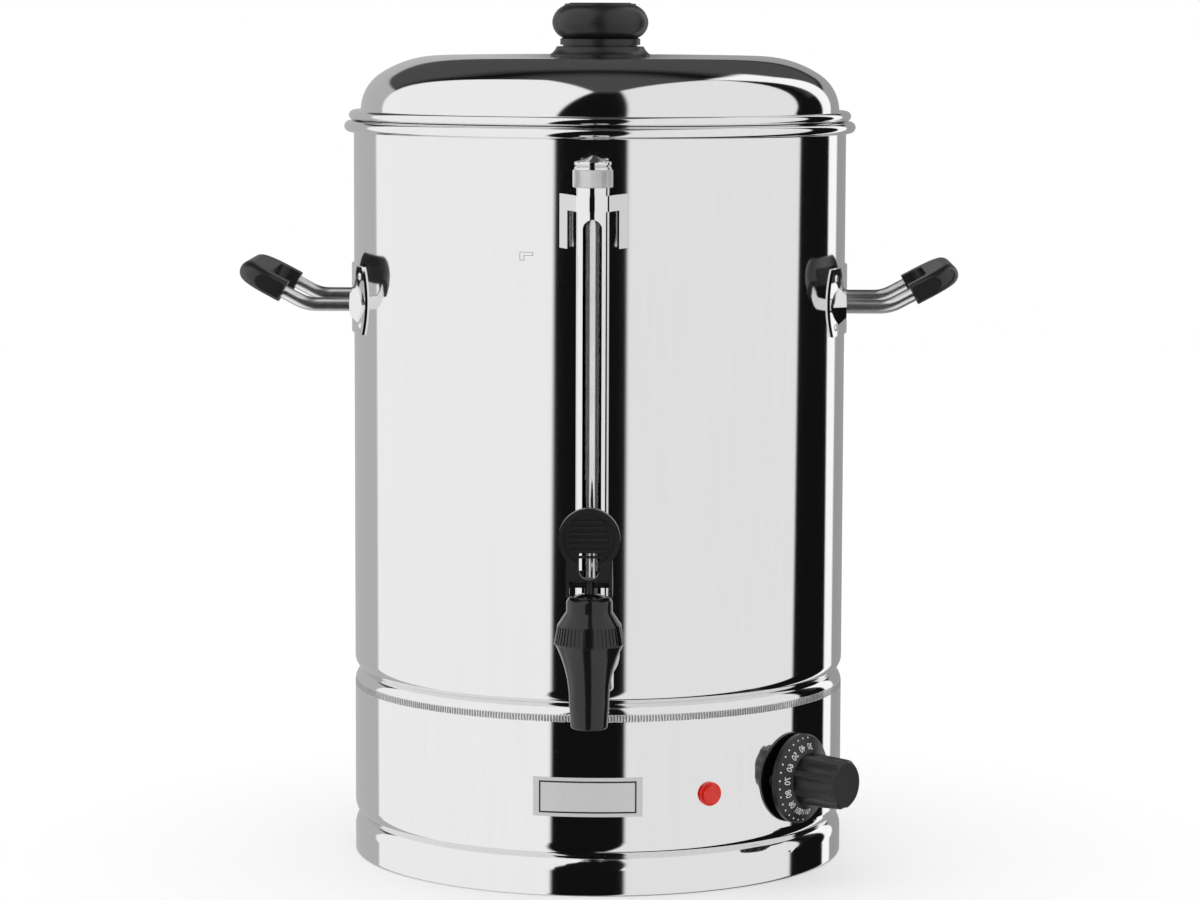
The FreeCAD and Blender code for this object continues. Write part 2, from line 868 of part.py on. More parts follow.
def knobCap():
    # disc pressed into the top of the knob
    disc = size("capDisc")
    wall = size("capDiscWall")
    top = wall + size("capDiscProud")
    seat = lidTop + size("collarHeight") + size("neckGroove") + size("neckHeight") + size("knobHeight") - wall
    return turnedPiece("knob_cap", [
        (0, 0), (disc, 0), (disc, top - 0.6), (disc - 0.6, top, 0.6, 1), (0, top),
    ], z=seat)


def knobScrew():
    # holds collar and knob from inside the lid
    head = size("knobScrewHead")
    deep = size("knobScrewHeadHeight")
    thread = size("knobScrewRadius")
    return turnedPiece("knob_screw", [
        (0, -deep),
        (head - 1.2, -deep),
        (head, 1.2 - deep, 1.2, 1),
        (head, 0),
        (thread, 0),
        (thread, size("knobScrewReach")),
        (0, size("knobScrewReach")),
    ], z=lidTop - sheetWall)


def gaugeGuard():
    # steel tube round the sight glass, with a long window in front
    outer = size("guardRadius")
    foot = guardFoot
    body = startBody("gauge_guard")
    section = addSketch(body, "guardSection", "XZ_Plane")
    turn(body, drawOutline(section, box(outer - size("guardWall"), foot, outer, size("guardTop"))))
    window = addSketch(body, "guardWindow", "XZ_Plane")
    half = size("slotWidth") / 2
    drawOutline(window, slotPlaces(-half, slotBottom, half, slotTop))
    pocket(body, window, outer + 1, back=True)
    return put(body, 0, -gaugeAxis)


def gaugeGlass():
    outer = size("glassRadius")
    foot = guardFoot + size("glassLift")
    return turnedPiece("gauge_glass", box(outer - size("glassWall"), foot, outer, glassTop), y=-gaugeAxis)


def gaugeSeal(label, foot):
    # rubber ring that centres the glass in its guard
    inner = size("glassRadius")
    outer = size("guardRadius") - size("guardWall")
    return turnedPiece(label, box(inner, foot, outer, foot + size("sealHeight")), y=-gaugeAxis)


def gaugeCap():
    # knurled cap that closes the gauge from above
    bore = size("guardRadius") + size("runningFit")
    foot = capBottom
    knurl = knurlRadius
    ring = capRingRadius
    groove = size("capRingGroove")
    top = foot + size("knurlHeight")
    ringTop = top + size("capRingHeight")
    return turnedPiece("gauge_cap", [
        (bore, foot),
        (knurl - 0.4, foot),
        (knurl, foot + 0.4),
        (knurl, top - 0.4),
        (knurl - 0.4, top),
        (ring, top),
        (ring, top + 0.9),
        (ring - groove, top + 0.9 + groove),
        (ring, top + 0.9 + groove * 2),
        (ring, ringTop - 0.4),
        (ring - 0.4, ringTop),
        (0.6, ringTop + size("capCone")),
        (0, ringTop + size("capCone")),
        (0, size("guardTop") + 1),
        (bore, size("guardTop") + 1),
    ], y=-gaugeAxis)


def gaugeStrap():
    # pressed strap: two slanting sides that stand on the wall, and a band round the guard
    wall = size("strapWall")
    inner = size("guardRadius") + size("runningFit")
    outer = inner + wall
    open = size("strapOpening")
    wide = size("strapHalfWidth")
    ahead = -(bodyRadius + size("strapReach"))
    body = startBody("gauge_bracket")
    for side, name in ((-1, "leftSide"), (1, "rightSide")):
        slant = addSketch(body, name, "XY_Plane", strapTop - size("strapHeight"))
        drawOutline(slant, [
            ((wide - wall) * side, -arcDrop(bodyRadius, wide - wall)),
            (wide * side, -arcDrop(bodyRadius, wide), bodyRadius, side),
            ((open + wall) * side, ahead),
            (open * side, ahead),
        ])
        pad(body, slant, size("strapHeight"))
    band = addSketch(body, "band", "XY_Plane", strapTop - size("strapBand"))
    drawOutline(band, [
        (-open - wall, ahead),
        (-open, ahead),
        (-inner, -gaugeAxis),
        (0, -gaugeAxis - inner, inner, 1),
        (inner, -gaugeAxis, inner, 1),
        (open, ahead),
        (open + wall, ahead),
        (outer, -gaugeAxis),
        (0, -gaugeAxis - outer, outer, -1),
        (-outer, -gaugeAxis, outer, -1),
    ])
    pad(body, band, size("strapBand"))
    return put(body)


def gaugeTee():
    # carries the sight glass: an upright socket on a sleeve that the tap's shank passes through
    socket = teeSocket
    foot = teeBottom
    guard = size("guardRadius")
    sleeve = teeSleeve
    start = bodyRadius + size("washerWall")
    stop = gaugeAxis + socket + 1.5
    body = startBody("gauge_tee")
    turn(body, drawOutline(addSketch(body, "socketSection", "XZ_Plane"), [
        (0, foot), (socket - 1.5, foot), (socket, foot + 1.5, 1.5, 1),
        (socket, teeTop - 0.8), (socket - 0.8, teeTop), (0, teeTop),
    ]))
    across = addSketch(body, "sleeve", "XZ_Plane", start - gaugeAxis)
    drawCircle(across, 0, size("tapAxis"), sleeve)
    pad(body, across, stop - start)
    shank = addSketch(body, "shankBore", "XZ_Plane", start - gaugeAxis - 1)
    drawCircle(shank, 0, size("tapAxis"), size("shankRadius") + size("runningFit"))
    pocket(body, shank, stop - start + 2, back=True)
    bore = addSketch(body, "guardBore", "XY_Plane", teeTop)
    drawCircle(bore, 0, 0, guard)
    pocket(body, bore, teeTop - guardFoot)
    feed = addSketch(body, "feedBore", "XY_Plane", teeTop)
    drawCircle(feed, 0, 0, size("glassRadius") - size("glassWall"))
    pocket(body, feed, teeTop - size("tapAxis"))
    return put(body, 0, -gaugeAxis)


def tapBody():
    # moulded tap: tapered spout, valve chamber, and a shank that passes through the tank wall
    spout = size("spoutTip")
    foot = spoutBottom
    body = startBody("tap_body")
    turn(body, drawOutline(addSketch(body, "spoutSection", "XZ_Plane"), [
        (0, foot),
        (spout - 1.2, foot),
        (spout, foot + 1.2, 1.2, 1),
        (size("spoutStraightRadius"), spoutStraight),
        (size("spoutTopRadius"), spoutTop, size("spoutFlare"), -1),
        (0, spoutTop),
    ]))
    neckEnd = tapAxisOut - gaugeAxis - teeSocket - 1.5
    neck = addSketch(body, "neck", "XZ_Plane")
    drawCircle(neck, 0, size("tapAxis"), size("tapNeck"))
    pad(body, neck, neckEnd, back=True)
    shank = addSketch(body, "shank", "XZ_Plane")
    drawCircle(shank, 0, size("tapAxis"), size("shankRadius"))
    pad(body, shank, tapAxisOut - innerRadius + size("shankInside"), back=True)
    turn(body, drawOutline(addSketch(body, "chamber", "XZ_Plane"), [
        (0, foot),
        (size("spoutBore"), foot),
        (size("spoutBore"), seatHeight),
        (size("seatWidth"), seatHeight),
        (size("chamberRadius"), spoutTop),
        (0, spoutTop),
    ]), cut=True)
    bore = addSketch(body, "inletBore", "XZ_Plane")
    drawCircle(bore, 0, size("tapAxis"), size("shankBore"))
    pocket(body, bore, tapAxisOut)
    return put(body, 0, -tapAxisOut)


def tapBonnet():
    # ribbed ring, cone and domed collar that cover the valve chamber
    ring = size("ringBottom")
    top = size("ringTop")
    collar = size("bonnetRadius")
    shoulder = size("bonnetShoulder")
    dome = size("domeRadius")
    cavity = size("bonnetCavity")
    stem = size("stemRadius") + size("runningFit")
    base = spoutTop
    roof = bonnetTop - size("bonnetRoof")
    domeCurve = (dome * dome + size("domeRise") * size("domeRise")) / (size("domeRise") * 2)
    domeEdge = bonnetTop + size("domeRise") - domeCurve + arcDrop(domeCurve, stem)
    body = startBody("tap_bonnet")
    turn(body, drawOutline(addSketch(body, "bonnetSection", "XZ_Plane"), [
        (cavity, base),
        (ring - 0.6, base),
        (ring, base + 0.6, 0.6, 1),
        (top, ringTopHeight),
        (collar, collarBase),
        (collar, bonnetTop - shoulder),
        (collar - shoulder, bonnetTop, shoulder, 1),
        (dome, bonnetTop),
        (stem, domeEdge, domeCurve, 1),
        (stem, roof),
        (cavity, roof),
    ]))
    rib = addSketch(body, "rib", "XZ_Plane")
    deep = size("ribDepth")
    slope = (ring - top) / (size("ringHeight") - 0.6)
    low = base + 1
    high = ringTopHeight - 0.5
    drawOutline(rib, [
        (ring - deep - slope * 0.4, low),
        (ring + 1, low),
        (ring + 1, high),
        (top - deep + slope * 0.5, high),
    ])
    ringOf(body, pocket(body, rib, size("ribWidth"), both=True), "Z_Axis", size("ringRibs"))
    return put(body, 0, -tapAxisOut)


def wallWasher(label, outside):
    # rubber washer on the shank, shaped to the curve of the tank wall
    wall = size("washerWall")
    start = bodyRadius + wall if outside else innerRadius + 1
    back = start - bodyRadius + 2 if outside else 1 + wall
    tube = doc.addObject("Part::Cylinder", label + "Disc")
    bore = doc.addObject("Part::Cylinder", label + "Bore")
    drum = doc.addObject("Part::Cylinder", label + "Drum")
    for item, radius in ((tube, size("washerRadius")), (bore, size("shankRadius"))):
        bind(item, "Radius", radius)
        bind(item, "Height", back)
        put(item, 0, -start, size("tapAxis"), -90, (1, 0, 0))
    bind(drum, "Radius", bodyRadius if outside else innerRadius)
    bind(drum, "Height", size("tapAxis") * 2)
    ring = doc.addObject("Part::Cut", label + "Ring")
    ring.Base, ring.Tool = tube, bore
    kind = "Part::Cut" if outside else "Part::Common"
    washer = doc.addObject(kind, label)
    washer.Base, washer.Tool = ring, drum
    washer.Label = label
    return washer


def tapNut():
    # hexagon nut that pulls the tap against the wall from inside
    body = startBody("tap_nut")
    face = innerRadius - size("washerWall")
    across = addSketch(body, "nutFlats", "XZ_Plane", face - size("nutWall"))
    drawOutline(across, [(x, y + size("tapAxis")) for x, y in hexagon(size("nutFlats"))])
    pad(body, across, size("nutWall"))
    bore = addSketch(body, "nutBore", "XZ_Plane", face - size("nutWall") - 1)
    drawCircle(bore, 0, size("tapAxis"), size("shankRadius"))
    pocket(body, bore, size("nutWall") + 2, back=True)
    return put(body)


def valveStem():
    # rises with the lever; the flange takes the spring and the eye takes the lever's pin
    thread = size("stemRadius")
    flange = size("stemFlange")
    low = stemFlangeHeight
    body = startBody("valve_stem")
    foot = seatHeight + size("seatCupGap") + size("seatCupHeight") / 3
    turn(body, drawOutline(addSketch(body, "stemSection", "XZ_Plane"), [
        (0, foot),
        (thread, foot),
        (thread, low),
        (flange, low),
        (flange, low + size("stemFlangeWall")),
        (thread, low + size("stemFlangeWall")),
        (thread, pivotHeight + size("stemTop") - 0.8),
        (thread - 0.8, pivotHeight + size("stemTop"), 0.8, 1),
        (0, pivotHeight + size("stemTop")),
    ]))
    eye = addSketch(body, "eye", "YZ_Plane")
    drawCircle(eye, 0, pivotHeight, size("pivotRadius"))
    pocket(body, eye, thread * 3, both=True)
    return put(body, 0, -tapAxisOut)


def seatCup():
    # rubber cup on the foot of the stem that closes the spout
    wide = size("seatCupRadius")
    thread = size("stemRadius")
    foot = seatHeight + size("seatCupGap")
    socket = foot + size("seatCupHeight") / 3
    return turnedPiece("seat_cup", [
        (0, foot),
        (wide - 1.5, foot),
        (wide, foot + 1.5, 1.5, 1),
        (thread + 1.4, foot + size("seatCupHeight")),
        (thread, foot + size("seatCupHeight")),
        (thread, socket),
        (0, socket),
    ], y=-tapAxisOut)


def leverPin():
    # cross pin through the lever's cheeks and the stem's eye
    pin = doc.addObject("Part::Cylinder", "lever_pin")
    bind(pin, "Radius", size("pivotRadius"))
    bind(pin, "Height", size("leverNeck"))
    put(pin, -size("leverNeck") / 2, -tapAxisOut, pivotHeight, 90, (0, 1, 0))
    return pin


def tapSpring():
    # closing spring between the stem's flange and the roof of the bonnet
    low = stemFlangeHeight + size("stemFlangeWall")
    high = bonnetTop - size("bonnetRoof")
    wire = size("springWire").value
    pitch = (round(high.value, 6) - round(low.value, 6) - 2 * wire) / size("springTurns").value
    coil = Part.makeHelix(pitch, pitch * size("springTurns").value, size("springRadius").value)
    start = FreeCAD.Vector(size("springRadius").value, 0, 0)
    circle = Part.Wire(Part.makeCircle(wire, start, FreeCAD.Vector(0, 1, 0)))
    spring = doc.addObject("Part::Feature", "tap_spring")
    spring.Shape = Part.Wire(coil).makePipeShell([circle], True, True)
    return put(spring, 0, -tapAxisOut, round(low.value, 6) + wire)


def tapLever():
    # round dished pad on a windowed neck, with two cheeks whose heels roll on the bonnet
    half = size("leverNeck") / 2
    heel = size("leverHeel")
    heelRadius = pivotHeight - bonnetTop - size("leverGap")
    front = heel + heelRadius
    padRadius = size("leverPadRadius")
    padUp = leverPadHeight - pivotHeight
    joinUp = padUp - arcDrop(padRadius, half)
    wall = size("leverPadWall")
    brow = size("leverBrow")
    body = startBody("tap_lever")
    cheeks = addSketch(body, "cheeks", "YZ_Plane")
    back = size("leverBack")
    toe = heelRadius - 2
    drawOutline(cheeks, [
        (-heel, -heelRadius),
        (-front, 0, heelRadius, -1),
        (-front, size("leverCheek")),
        (wall + 1 - front, size("leverCheek")),
        (back, 1),
        (back, 2 - heelRadius),
        (back - 2, -heelRadius, 2, -1),
    ])
    pad(body, cheeks, size("leverNeck"), both=True)
    hollow = addSketch(body, "hollow", "YZ_Plane")
    drawOutline(hollow, [
        (-front - 5, -heelRadius - 5),
        (-front - 5, brow),
        (wall - front, brow),
        (wall - front, size("leverCheek") + 5),
        (back + 5, size("leverCheek") + 5),
        (back + 5, -heelRadius - 5),
    ])
    pocket(body, hollow, size("leverNeck") - size("leverWall") * 2, both=True)
    plate = addSketch(body, "plate", "XZ_Plane", front - wall)
    drawOutline(plate, [
        (-half, brow),
        (half, brow),
        (half, joinUp),
        (padRadius, padUp, padRadius, 1),
        (0, padUp + padRadius, padRadius, 1),
        (-padRadius, padUp, padRadius, 1),
        (-half, joinUp, padRadius, 1),
    ])
    pad(body, plate, wall)
    window = addSketch(body, "window", "XZ_Plane", front - wall - 1)
    wide = size("leverWindow") / 2
    sill = size("leverWindowSill")
    high = sill + size("leverWindowHeight")
    drawOutline(window, [
        (-wide, high - 0.8), (-wide, sill + wide), (0, sill, wide, 1), (wide, sill + wide, wide, 1),
        (wide, high - 0.8), (wide - 0.8, high, 0.8, 1), (0.8 - wide, high), (-wide, high - 0.8, 0.8, 1),
    ])
    pocket(body, window, wall + 2, back=True)
    dish = addSketch(body, "dish", "XZ_Plane", front)
    drawCircle(dish, 0, padUp, size("leverPadDish"))
    pocket(body, dish, size("leverDishDepth"))
    for index in range(int(size("leverRidges").value)):
        step = (index - (size("leverRidges") - 1) / 2) * size("leverRidgePitch")
        reach = arcDrop(size("leverPadDish"), step) * 0.78
        ridge = addSketch(body, "ridge", "XZ_Plane", front - size("leverDishDepth"))
        drawOutline(ridge, box(-reach, padUp + step - 0.6, reach, padUp + step + 0.6))
        pad(body, ridge, size("leverDishDepth") * 0.8)
    pinHole = addSketch(body, "pinHole", "YZ_Plane")
    drawCircle(pinHole, 0, 0, size("pivotRadius") + size("runningFit"))
    pocket(body, pinHole, size("leverNeck") * 2, both=True)
    return put(body, 0, -tapAxisOut, pivotHeight)


def roundedPath(places, radii):
    # straight runs joined by tangent arcs, one radius for each corner
    edges = []
    start = places[0]
    for before, corner, after, radius in zip(places, places[1:], places[2:], radii):
        back = (before - corner).normalize()
        ahead = (after - corner).normalize()
        half = back.getAngle(ahead) / 2
        tangent = radius / math.tan(half)
        first = corner + back * tangent
        last = corner + ahead * tangent
        middle = corner + (back + ahead).normalize() * (radius / math.sin(half) - radius)
        edges.append(Part.makeLine(start, first))
        edges.append(Part.Arc(first, middle, last).toShape())
        start = last
    edges.append(Part.makeLine(start, places[-1]))
    return edges


def rodAlong(label, edges, radius):
    # a round bar that follows a path of lines and arcs
    path = Part.Wire(edges)
    start = edges[0].valueAt(edges[0].FirstParameter)
    ahead = edges[0].tangentAt(edges[0].FirstParameter)
    circle = Part.Wire(Part.makeCircle(radius, start, ahead))
    rod = doc.addObject("Part::Feature", label)
    rod.Shape = path.makePipeShell([circle], True, False)
    return rod


def handleRod():
    # bent bar: two level legs that turn up at the knee and join inside the grip
    leg = size("legSpan").value / 2
    start = arcDrop(bodyRadius + size("bracketWall"), size("legSpan") / 2).value
    knee = handleKnee.value
    slope = math.radians(size("gripAngle").value)
    reach = (size("gripStart") + size("gripLength") - size("gripRodInset")).value
    farX = knee + reach * math.cos(slope)
    farZ = reach * math.sin(slope)
    bends = [size(name).value for name in ("rodKneeRadius", "rodCornerRadius")]
    up = FreeCAD.Vector(knee, 0, 0)
    front = roundedPath([
        FreeCAD.Vector(start, -leg, 0), FreeCAD.Vector(knee, -leg, 0),
        FreeCAD.Vector(farX, -leg, farZ), FreeCAD.Vector(farX, leg, farZ),
        FreeCAD.Vector(knee, leg, 0), FreeCAD.Vector(start, leg, 0),
    ], bends + bends[::-1])
    rod = rodAlong("handle_rod_right", front, size("rodRadius").value)
    return put(rod, z=size("handleHeight"))


def handleGrip(rod):
    # heatproof U grip moulded round the bar, with a sunk panel on each arm
    start = size("gripStart")
    end = start + size("gripLength")
    half = gripHalfWidth
    corner = size("gripCorner")
    inner = half - size("gripArm")
    deep = end - size("gripArm")
    nook = size("gripInnerCorner")
    body = startBody("grip_blank")
    outline = addSketch(body, "gripOutline", "XY_Plane")
    drawOutline(outline, [
        (start, -half),
        (end - corner, -half),
        (end, corner - half, corner, 1),
        (end, half - corner),
        (end - corner, half, corner, 1),
        (start, half),
        (start, inner),
        (deep - nook, inner),
        (deep, inner - nook, nook, -1),
        (deep, nook - inner),
        (deep - nook, -inner, nook, -1),
        (start, -inner),
    ])
    block = pad(body, outline, size("gripWall"), both=True)
    doc.recompute()
    rounding = body.newObject("PartDesign::Fillet", "gripRounding")
    rounding.Base = (block, outerEdges(block.Shape, size("gripWall").value / 2, start.value, inner.value))
    rounding.Radius = size("gripRound").value
    bind(rounding, "Radius", size("gripRound"))
    for side in (-1, 1):
        panel = addSketch(body, "panel", "XZ_Plane", half * side)
        middle = start + size("gripLength") * 0.44
        long = size("gripPanelLength") / 2
        tall = size("gripPanelHeight") / 2
        drawOutline(panel, [
            (middle - long, -tall), (middle + long - tall, -tall), (middle + long, 0, tall, 1),
            (middle + long - tall, tall, tall, 1), (middle - long, tall),
        ])
        pocket(body, panel, size("gripPanelDepth"), back=side < 0)
    put(body, handleKnee, 0, size("handleHeight"), -size("gripAngle"), (0, 1, 0))
    grip = doc.addObject("Part::Cut", "handle_grip_right")
    grip.Base, grip.Tool = body, rod
    return grip


def outerEdges(shape, height, start, inner):
    # the grip's long outer edges, above and below, apart from those on its inner side
    names = []
    for index, edge in enumerate(shape.Edges, start=1):
        box = edge.BoundBox
        flat = box.ZLength < 0.001 and abs(abs(box.ZMin) - height) < 0.001
        onOuter = max(abs(box.YMin), abs(box.YMax)) > inner + 1 and box.XLength > 0.001
        onEnd = box.XLength < 0.001 and box.XMin > start + 1 and box.YLength > inner * 0.5
        if flat and (onOuter or onEnd) and not innerSide(box, inner):
            names.append("Edge%d" % index)
    return names


def innerSide(box, inner):
    return max(abs(box.YMin), abs(box.YMax)) < inner + 0.001


def handleBracket():
    # curved pressed plate with a raised boss round each leg
    wall = size("bracketWall")
    tall = size("bracketHeight") / 2
    half = bracketHalf
    rise = size("bracketRise")
    bow = size("bracketBow")
    bowRadius = (tall * tall + bow * bow) / (bow * 2)
    leg = size("legSpan") / 2
    cover = bodyRadius + wall
    body = startBody("handle_bracket_right")
    outline = addSketch(body, "plateOutline", "YZ_Plane")
    drawOutline(outline, [
        (-half, rise - tall),
        (half, rise - tall),
        (half + bow, rise, bowRadius, 1),
        (half, rise + tall, bowRadius, 1),
        (-half, rise + tall),
        (-half - bow, rise, bowRadius, 1),
        (-half, rise - tall, bowRadius, 1),
    ])
    pad(body, outline, cover + 1)
    trim = addSketch(body, "outerTrim", "XZ_Plane")
    drawOutline(trim, box(cover, -tall * 2, cover * 2, tall * 2))
    turn(body, trim, cut=True)
    legWall = arcDrop(cover, leg)
    for side in (-1, 1):
        rings = []
        for name, out, wide, high in (
            ("bossFoot", legWall - 3, size("bossWidth"), size("bossHeight")),
            ("bossTip", legWall + size("bossReach"), size("bossTipWidth"), size("bossTipHeight")),
        ):
            ring = addSketch(body, name, "YZ_Plane", out)
            middle = leg * side
            drawOutline(ring, [
                (middle - wide / 2, 0), (middle, -high / 2), (middle + wide / 2, 0), (middle, high / 2),
            ])
            rings.append(ring)
        boss = body.newObject("PartDesign::AdditiveLoft", "boss")
        boss.Profile = rings[0]
        boss.Sections = [rings[1]]
        boss.Ruled = True
    hollow = addSketch(body, "innerTrim", "XZ_Plane")
    drawOutline(hollow, box(0, -tall * 2, bodyRadius, tall * 2))
    turn(body, hollow, cut=True)
    for side in (-1, 1):
        hole = addSketch(body, "legHole", "YZ_Plane", legWall)
        drawCircle(hole, leg * side, 0, size("rodRadius"))
        pocket(body, hole, size("bossReach") * 2, back=True)
    return put(body, z=size("handleHeight"))


def handleRivets():
    # four round rivet heads that hold the bracket to the wall
    rivet = size("rivetRadius")
    base = bodyRadius + size("bracketWall")
    top = base + size("rivetRise")
    curve = (rivet * rivet + size("rivetRise") * size("rivetRise")) / (size("rivetRise") * 2)
    pieces = []
    for turnSide in (-1, 1):
        for rowSide in (-1, 1):
            angle = 90 + size("rivetAngle") * turnSide
            height = size("handleHeight") + size("bracketRise") + size("rivetRow") * rowSide
            places = [(0, -base), (0, -top), (rivet, -base, curve, 1)]
            pieces.append(outwardPiece("rivet%d" % len(pieces), places, angle, height))
    return gather("handle_rivets_right", pieces)


def mirrored(source, label):
    copy = doc.addObject("Part::Mirroring", label)
    copy.Label = label
    copy.Source = source
    copy.Normal = FreeCAD.Vector(1, 0, 0)
    return copy


def pilotLens():
    # red lens with a rim on the wall and a raised centre
    rim = size("lampRim")
    lens = size("lampLens")
    face = bodyRadius + size("lampRimWall")
    top = bodyRadius + size("lampLensRise")
    inner = size("lampBody") - 1
    return outwardPiece("pilot_lens", [
        (0, 4 - bodyRadius),
        (0, -top),
        (lens - 0.5, -top),
        (lens, 0.5 - top, 0.5, -1),
        (lens, 0.6 - face),
        (lens + 0.5, 0.6 - face),
        (lens + 0.5, -face),
        (rim - 0.4, -face),
        (rim, 0.4 - face, 0.4, -1),
        (rim, -bodyRadius),
        (inner, -bodyRadius),
        (inner, 4 - bodyRadius),
    ], size("lampAngle"), size("lampHeight"))


def pilotBody():
    # lamp holder behind the lens, with two spade tabs
    outer = size("lampBody")
    inner = outer - 1
    back = size("lampBodyLength") - bodyRadius
    body = startBody("pilot_body")
    turn(body, drawOutline(addSketch(body, "lampSection", "XY_Plane"), [
        (inner, -bodyRadius), (outer, -bodyRadius), (outer, back),
        (0, back), (0, 5 - bodyRadius), (inner, 5 - bodyRadius),
    ]))
    for side in (-1, 1):
        tab = addSketch(body, "tab", "XZ_Plane", bodyRadius - size("lampBodyLength"))
        drawOutline(tab, box(side * 2.2 - 0.4, -1.6, side * 2.2 + 0.4, 1.6))
        pad(body, tab, size("lampTab"), back=True)
    return put(body, 0, 0, size("lampHeight"), size("lampAngle"))


def thermostatBody():
    # control box behind the wall, with the dial's bearing
    half = size("thermoWidth") / 2
    face = arcDrop(innerRadius, half) - thermoGap
    deep = size("thermoDepth")
    body = startBody("thermostat_body")
    block = addSketch(body, "thermoBlock", "XZ_Plane", face - deep)
    drawOutline(block, box(-half, -half, half, half))
    pad(body, block, deep)
    for name, across, radius in (
        ("shaftBore", 0, size("dialShaft") + size("runningFit")),
        ("screwBore", size("dialScrewPitch") / 2, size("dialScrewRadius")),
        ("screwBore", -size("dialScrewPitch") / 2, size("dialScrewRadius")),
    ):
        bore = addSketch(body, name, "XZ_Plane", face)
        drawCircle(bore, across, 0, radius)
        pocket(body, bore, deep * 0.6)
    return put(body, 0, 0, size("dialHeight"), size("dialAngle"))


def thermostatScrews():
    # two screws, hidden by the dial, that hold the control box to the wall
    half = size("dialScrewPitch") / 2
    seat = arcDrop(bodyRadius, half - size("dialScrewHead"))
    deep = arcDrop(innerRadius, size("thermoWidth") / 2) - thermoGap - size("thermoDepth") * 0.6
    body = startBody("thermostat_screws")
    for side in (-1, 1):
        shank = addSketch(body, "shank", "XZ_Plane", deep)
        drawCircle(shank, half * side, 0, size("dialScrewRadius"))
        pad(body, shank, seat - deep)
        head = addSketch(body, "head", "XZ_Plane", seat)
        drawCircle(head, half * side, 0, size("dialScrewHead"))
        pad(body, head, 1.6)
    return put(body, 0, 0, size("dialHeight"), size("dialAngle"))


def thermostatDial():
    # numbered skirt with a fluted grip in front
    back = bodyRadius + size("dialGap")
    face = back + size("dialSkirt")
    tip = face + size("dialGripLength")
    wide = size("dialRadius")
    rim = back + size("dialRim")
    hollow = back + size("dialHollow")
    shaft = size("dialShaft")
    body = startBody("thermostat_dial")
    turn(body, drawOutline(addSketch(body, "dialSection", "XY_Plane"), [
        (shaft, 1 - back),
        (shaft, -face),
        (shaft, -(back + size("dialShaftReach"))),
        (0, -(back + size("dialShaftReach"))),
        (0, -tip),
        (size("dialGripTip") - 1.5, -tip),
        (size("dialGripTip"), 1.5 - tip),
        (size("dialGripBase"), -face),
        (wide - 0.8, -rim),
        (wide, 0.8 - rim),
        (wide, -back),
        (wide - 1.6, -back),
        (wide - 1.6, -hollow),
        (shaft + 2.5, -hollow),
        (shaft + 2.5, 1 - back),
    ]))
    flute = addSketch(body, "flute", "XZ_Plane", face)
    drawCircle(flute, 0, size("dialFluteOffset"), size("dialFluteRadius"))
    ringOf(body, pocket(body, flute, size("dialGripLength") + 1, back=True), "Y_Axis", size("dialFlutes"))
    return put(body, 0, 0, size("dialHeight"), size("dialAngle"))


def thermostatShaft():
    # shaft that joins the dial to the control box
    shaft = size("dialShaft")
    deep = arcDrop(innerRadius, size("thermoWidth") / 2) - size("thermoDepth") * 0.55
    reach = bodyRadius + size("dialGap") + size("dialShaftReach")
    section = box(0, -reach, shaft, -deep)
    return outwardPiece("thermostat_shaft", section, size("dialAngle"), size("dialHeight"))


def heatingElement():
    # sheathed heater: one open loop above the floor, both ends bent down through it
    loop = size("elementLoop").value
    bend = size("elementBend").value
    opening = elementOpening.value
    height = elementHeight.value
    turnAt = math.radians(opening)
    starts = []
    for side in (1, -1):
        onLoop = FreeCAD.Vector(side * loop * math.sin(turnAt), loop * math.cos(turnAt), height)
        ahead = FreeCAD.Vector(side * math.cos(turnAt), -math.sin(turnAt), 0)
        starts.append((onLoop, ahead))
    edges = []
    down = FreeCAD.Vector(0, 0, -bend)
    onLoop, ahead = starts[0]
    legTop = onLoop - ahead * bend + down
    foot = FreeCAD.Vector(legTop.x, legTop.y, size("elementFoot").value)
    edges.append(Part.makeLine(foot, legTop))
    edges.append(Part.Arc(legTop, onLoop + down + cornerOf(ahead, bend), onLoop).toShape())
    far, farAhead = starts[1]
    edges.append(Part.Arc(onLoop, FreeCAD.Vector(0, -loop, height), far).toShape())
    farTop = far - farAhead * bend + down
    edges.append(Part.Arc(far, far + down + cornerOf(farAhead, bend), farTop).toShape())
    edges.append(Part.makeLine(farTop, FreeCAD.Vector(farTop.x, farTop.y, foot.z)))
    return rodAlong("heating_element", edges, size("elementRod").value)


def cornerOf(ahead, bend):
    # middle of a quarter bend, seen from the bend's centre
    return (FreeCAD.Vector(0, 0, 1) - ahead).normalize() * bend


def elementNuts():
    # nuts that clamp the heater's two ends under the floor
    pieces = []
    for side in (-1, 1):
        body = startBody("elementNut%d" % (side + 2))
        flats = addSketch(body, "nutFlats", "XY_Plane")
        drawOutline(flats, hexagon(size("elementNutFlats")))
        pad(body, flats, size("elementNutWall"))
        bore = addSketch(body, "nutBore", "XY_Plane")
        drawCircle(bore, 0, 0, size("elementRod"))
        pocket(body, bore, size("elementNutWall") * 3, both=True)
        under = floorTop - sheetWall - size("elementNutWall")
        pieces.append(put(body, elementLegX * side, elementLegY, under))
    return gather("element_nuts", pieces)


def thermalCutout():
    # boil-dry cutout pressed against the underside of the floor
    wide = size("cutoutRadius")
    tall = size("cutoutHeight")
    return turnedPiece("thermal_cutout", [
        (0, -tall), (2, -tall), (2, -tall + 1.2), (wide - 2, -tall + 1.2), (wide - 2, -2.4),
        (wide, -2.4), (wide, 0), (0, 0),
    ], x=size("cutoutOffset"), z=floorTop - sheetWall)


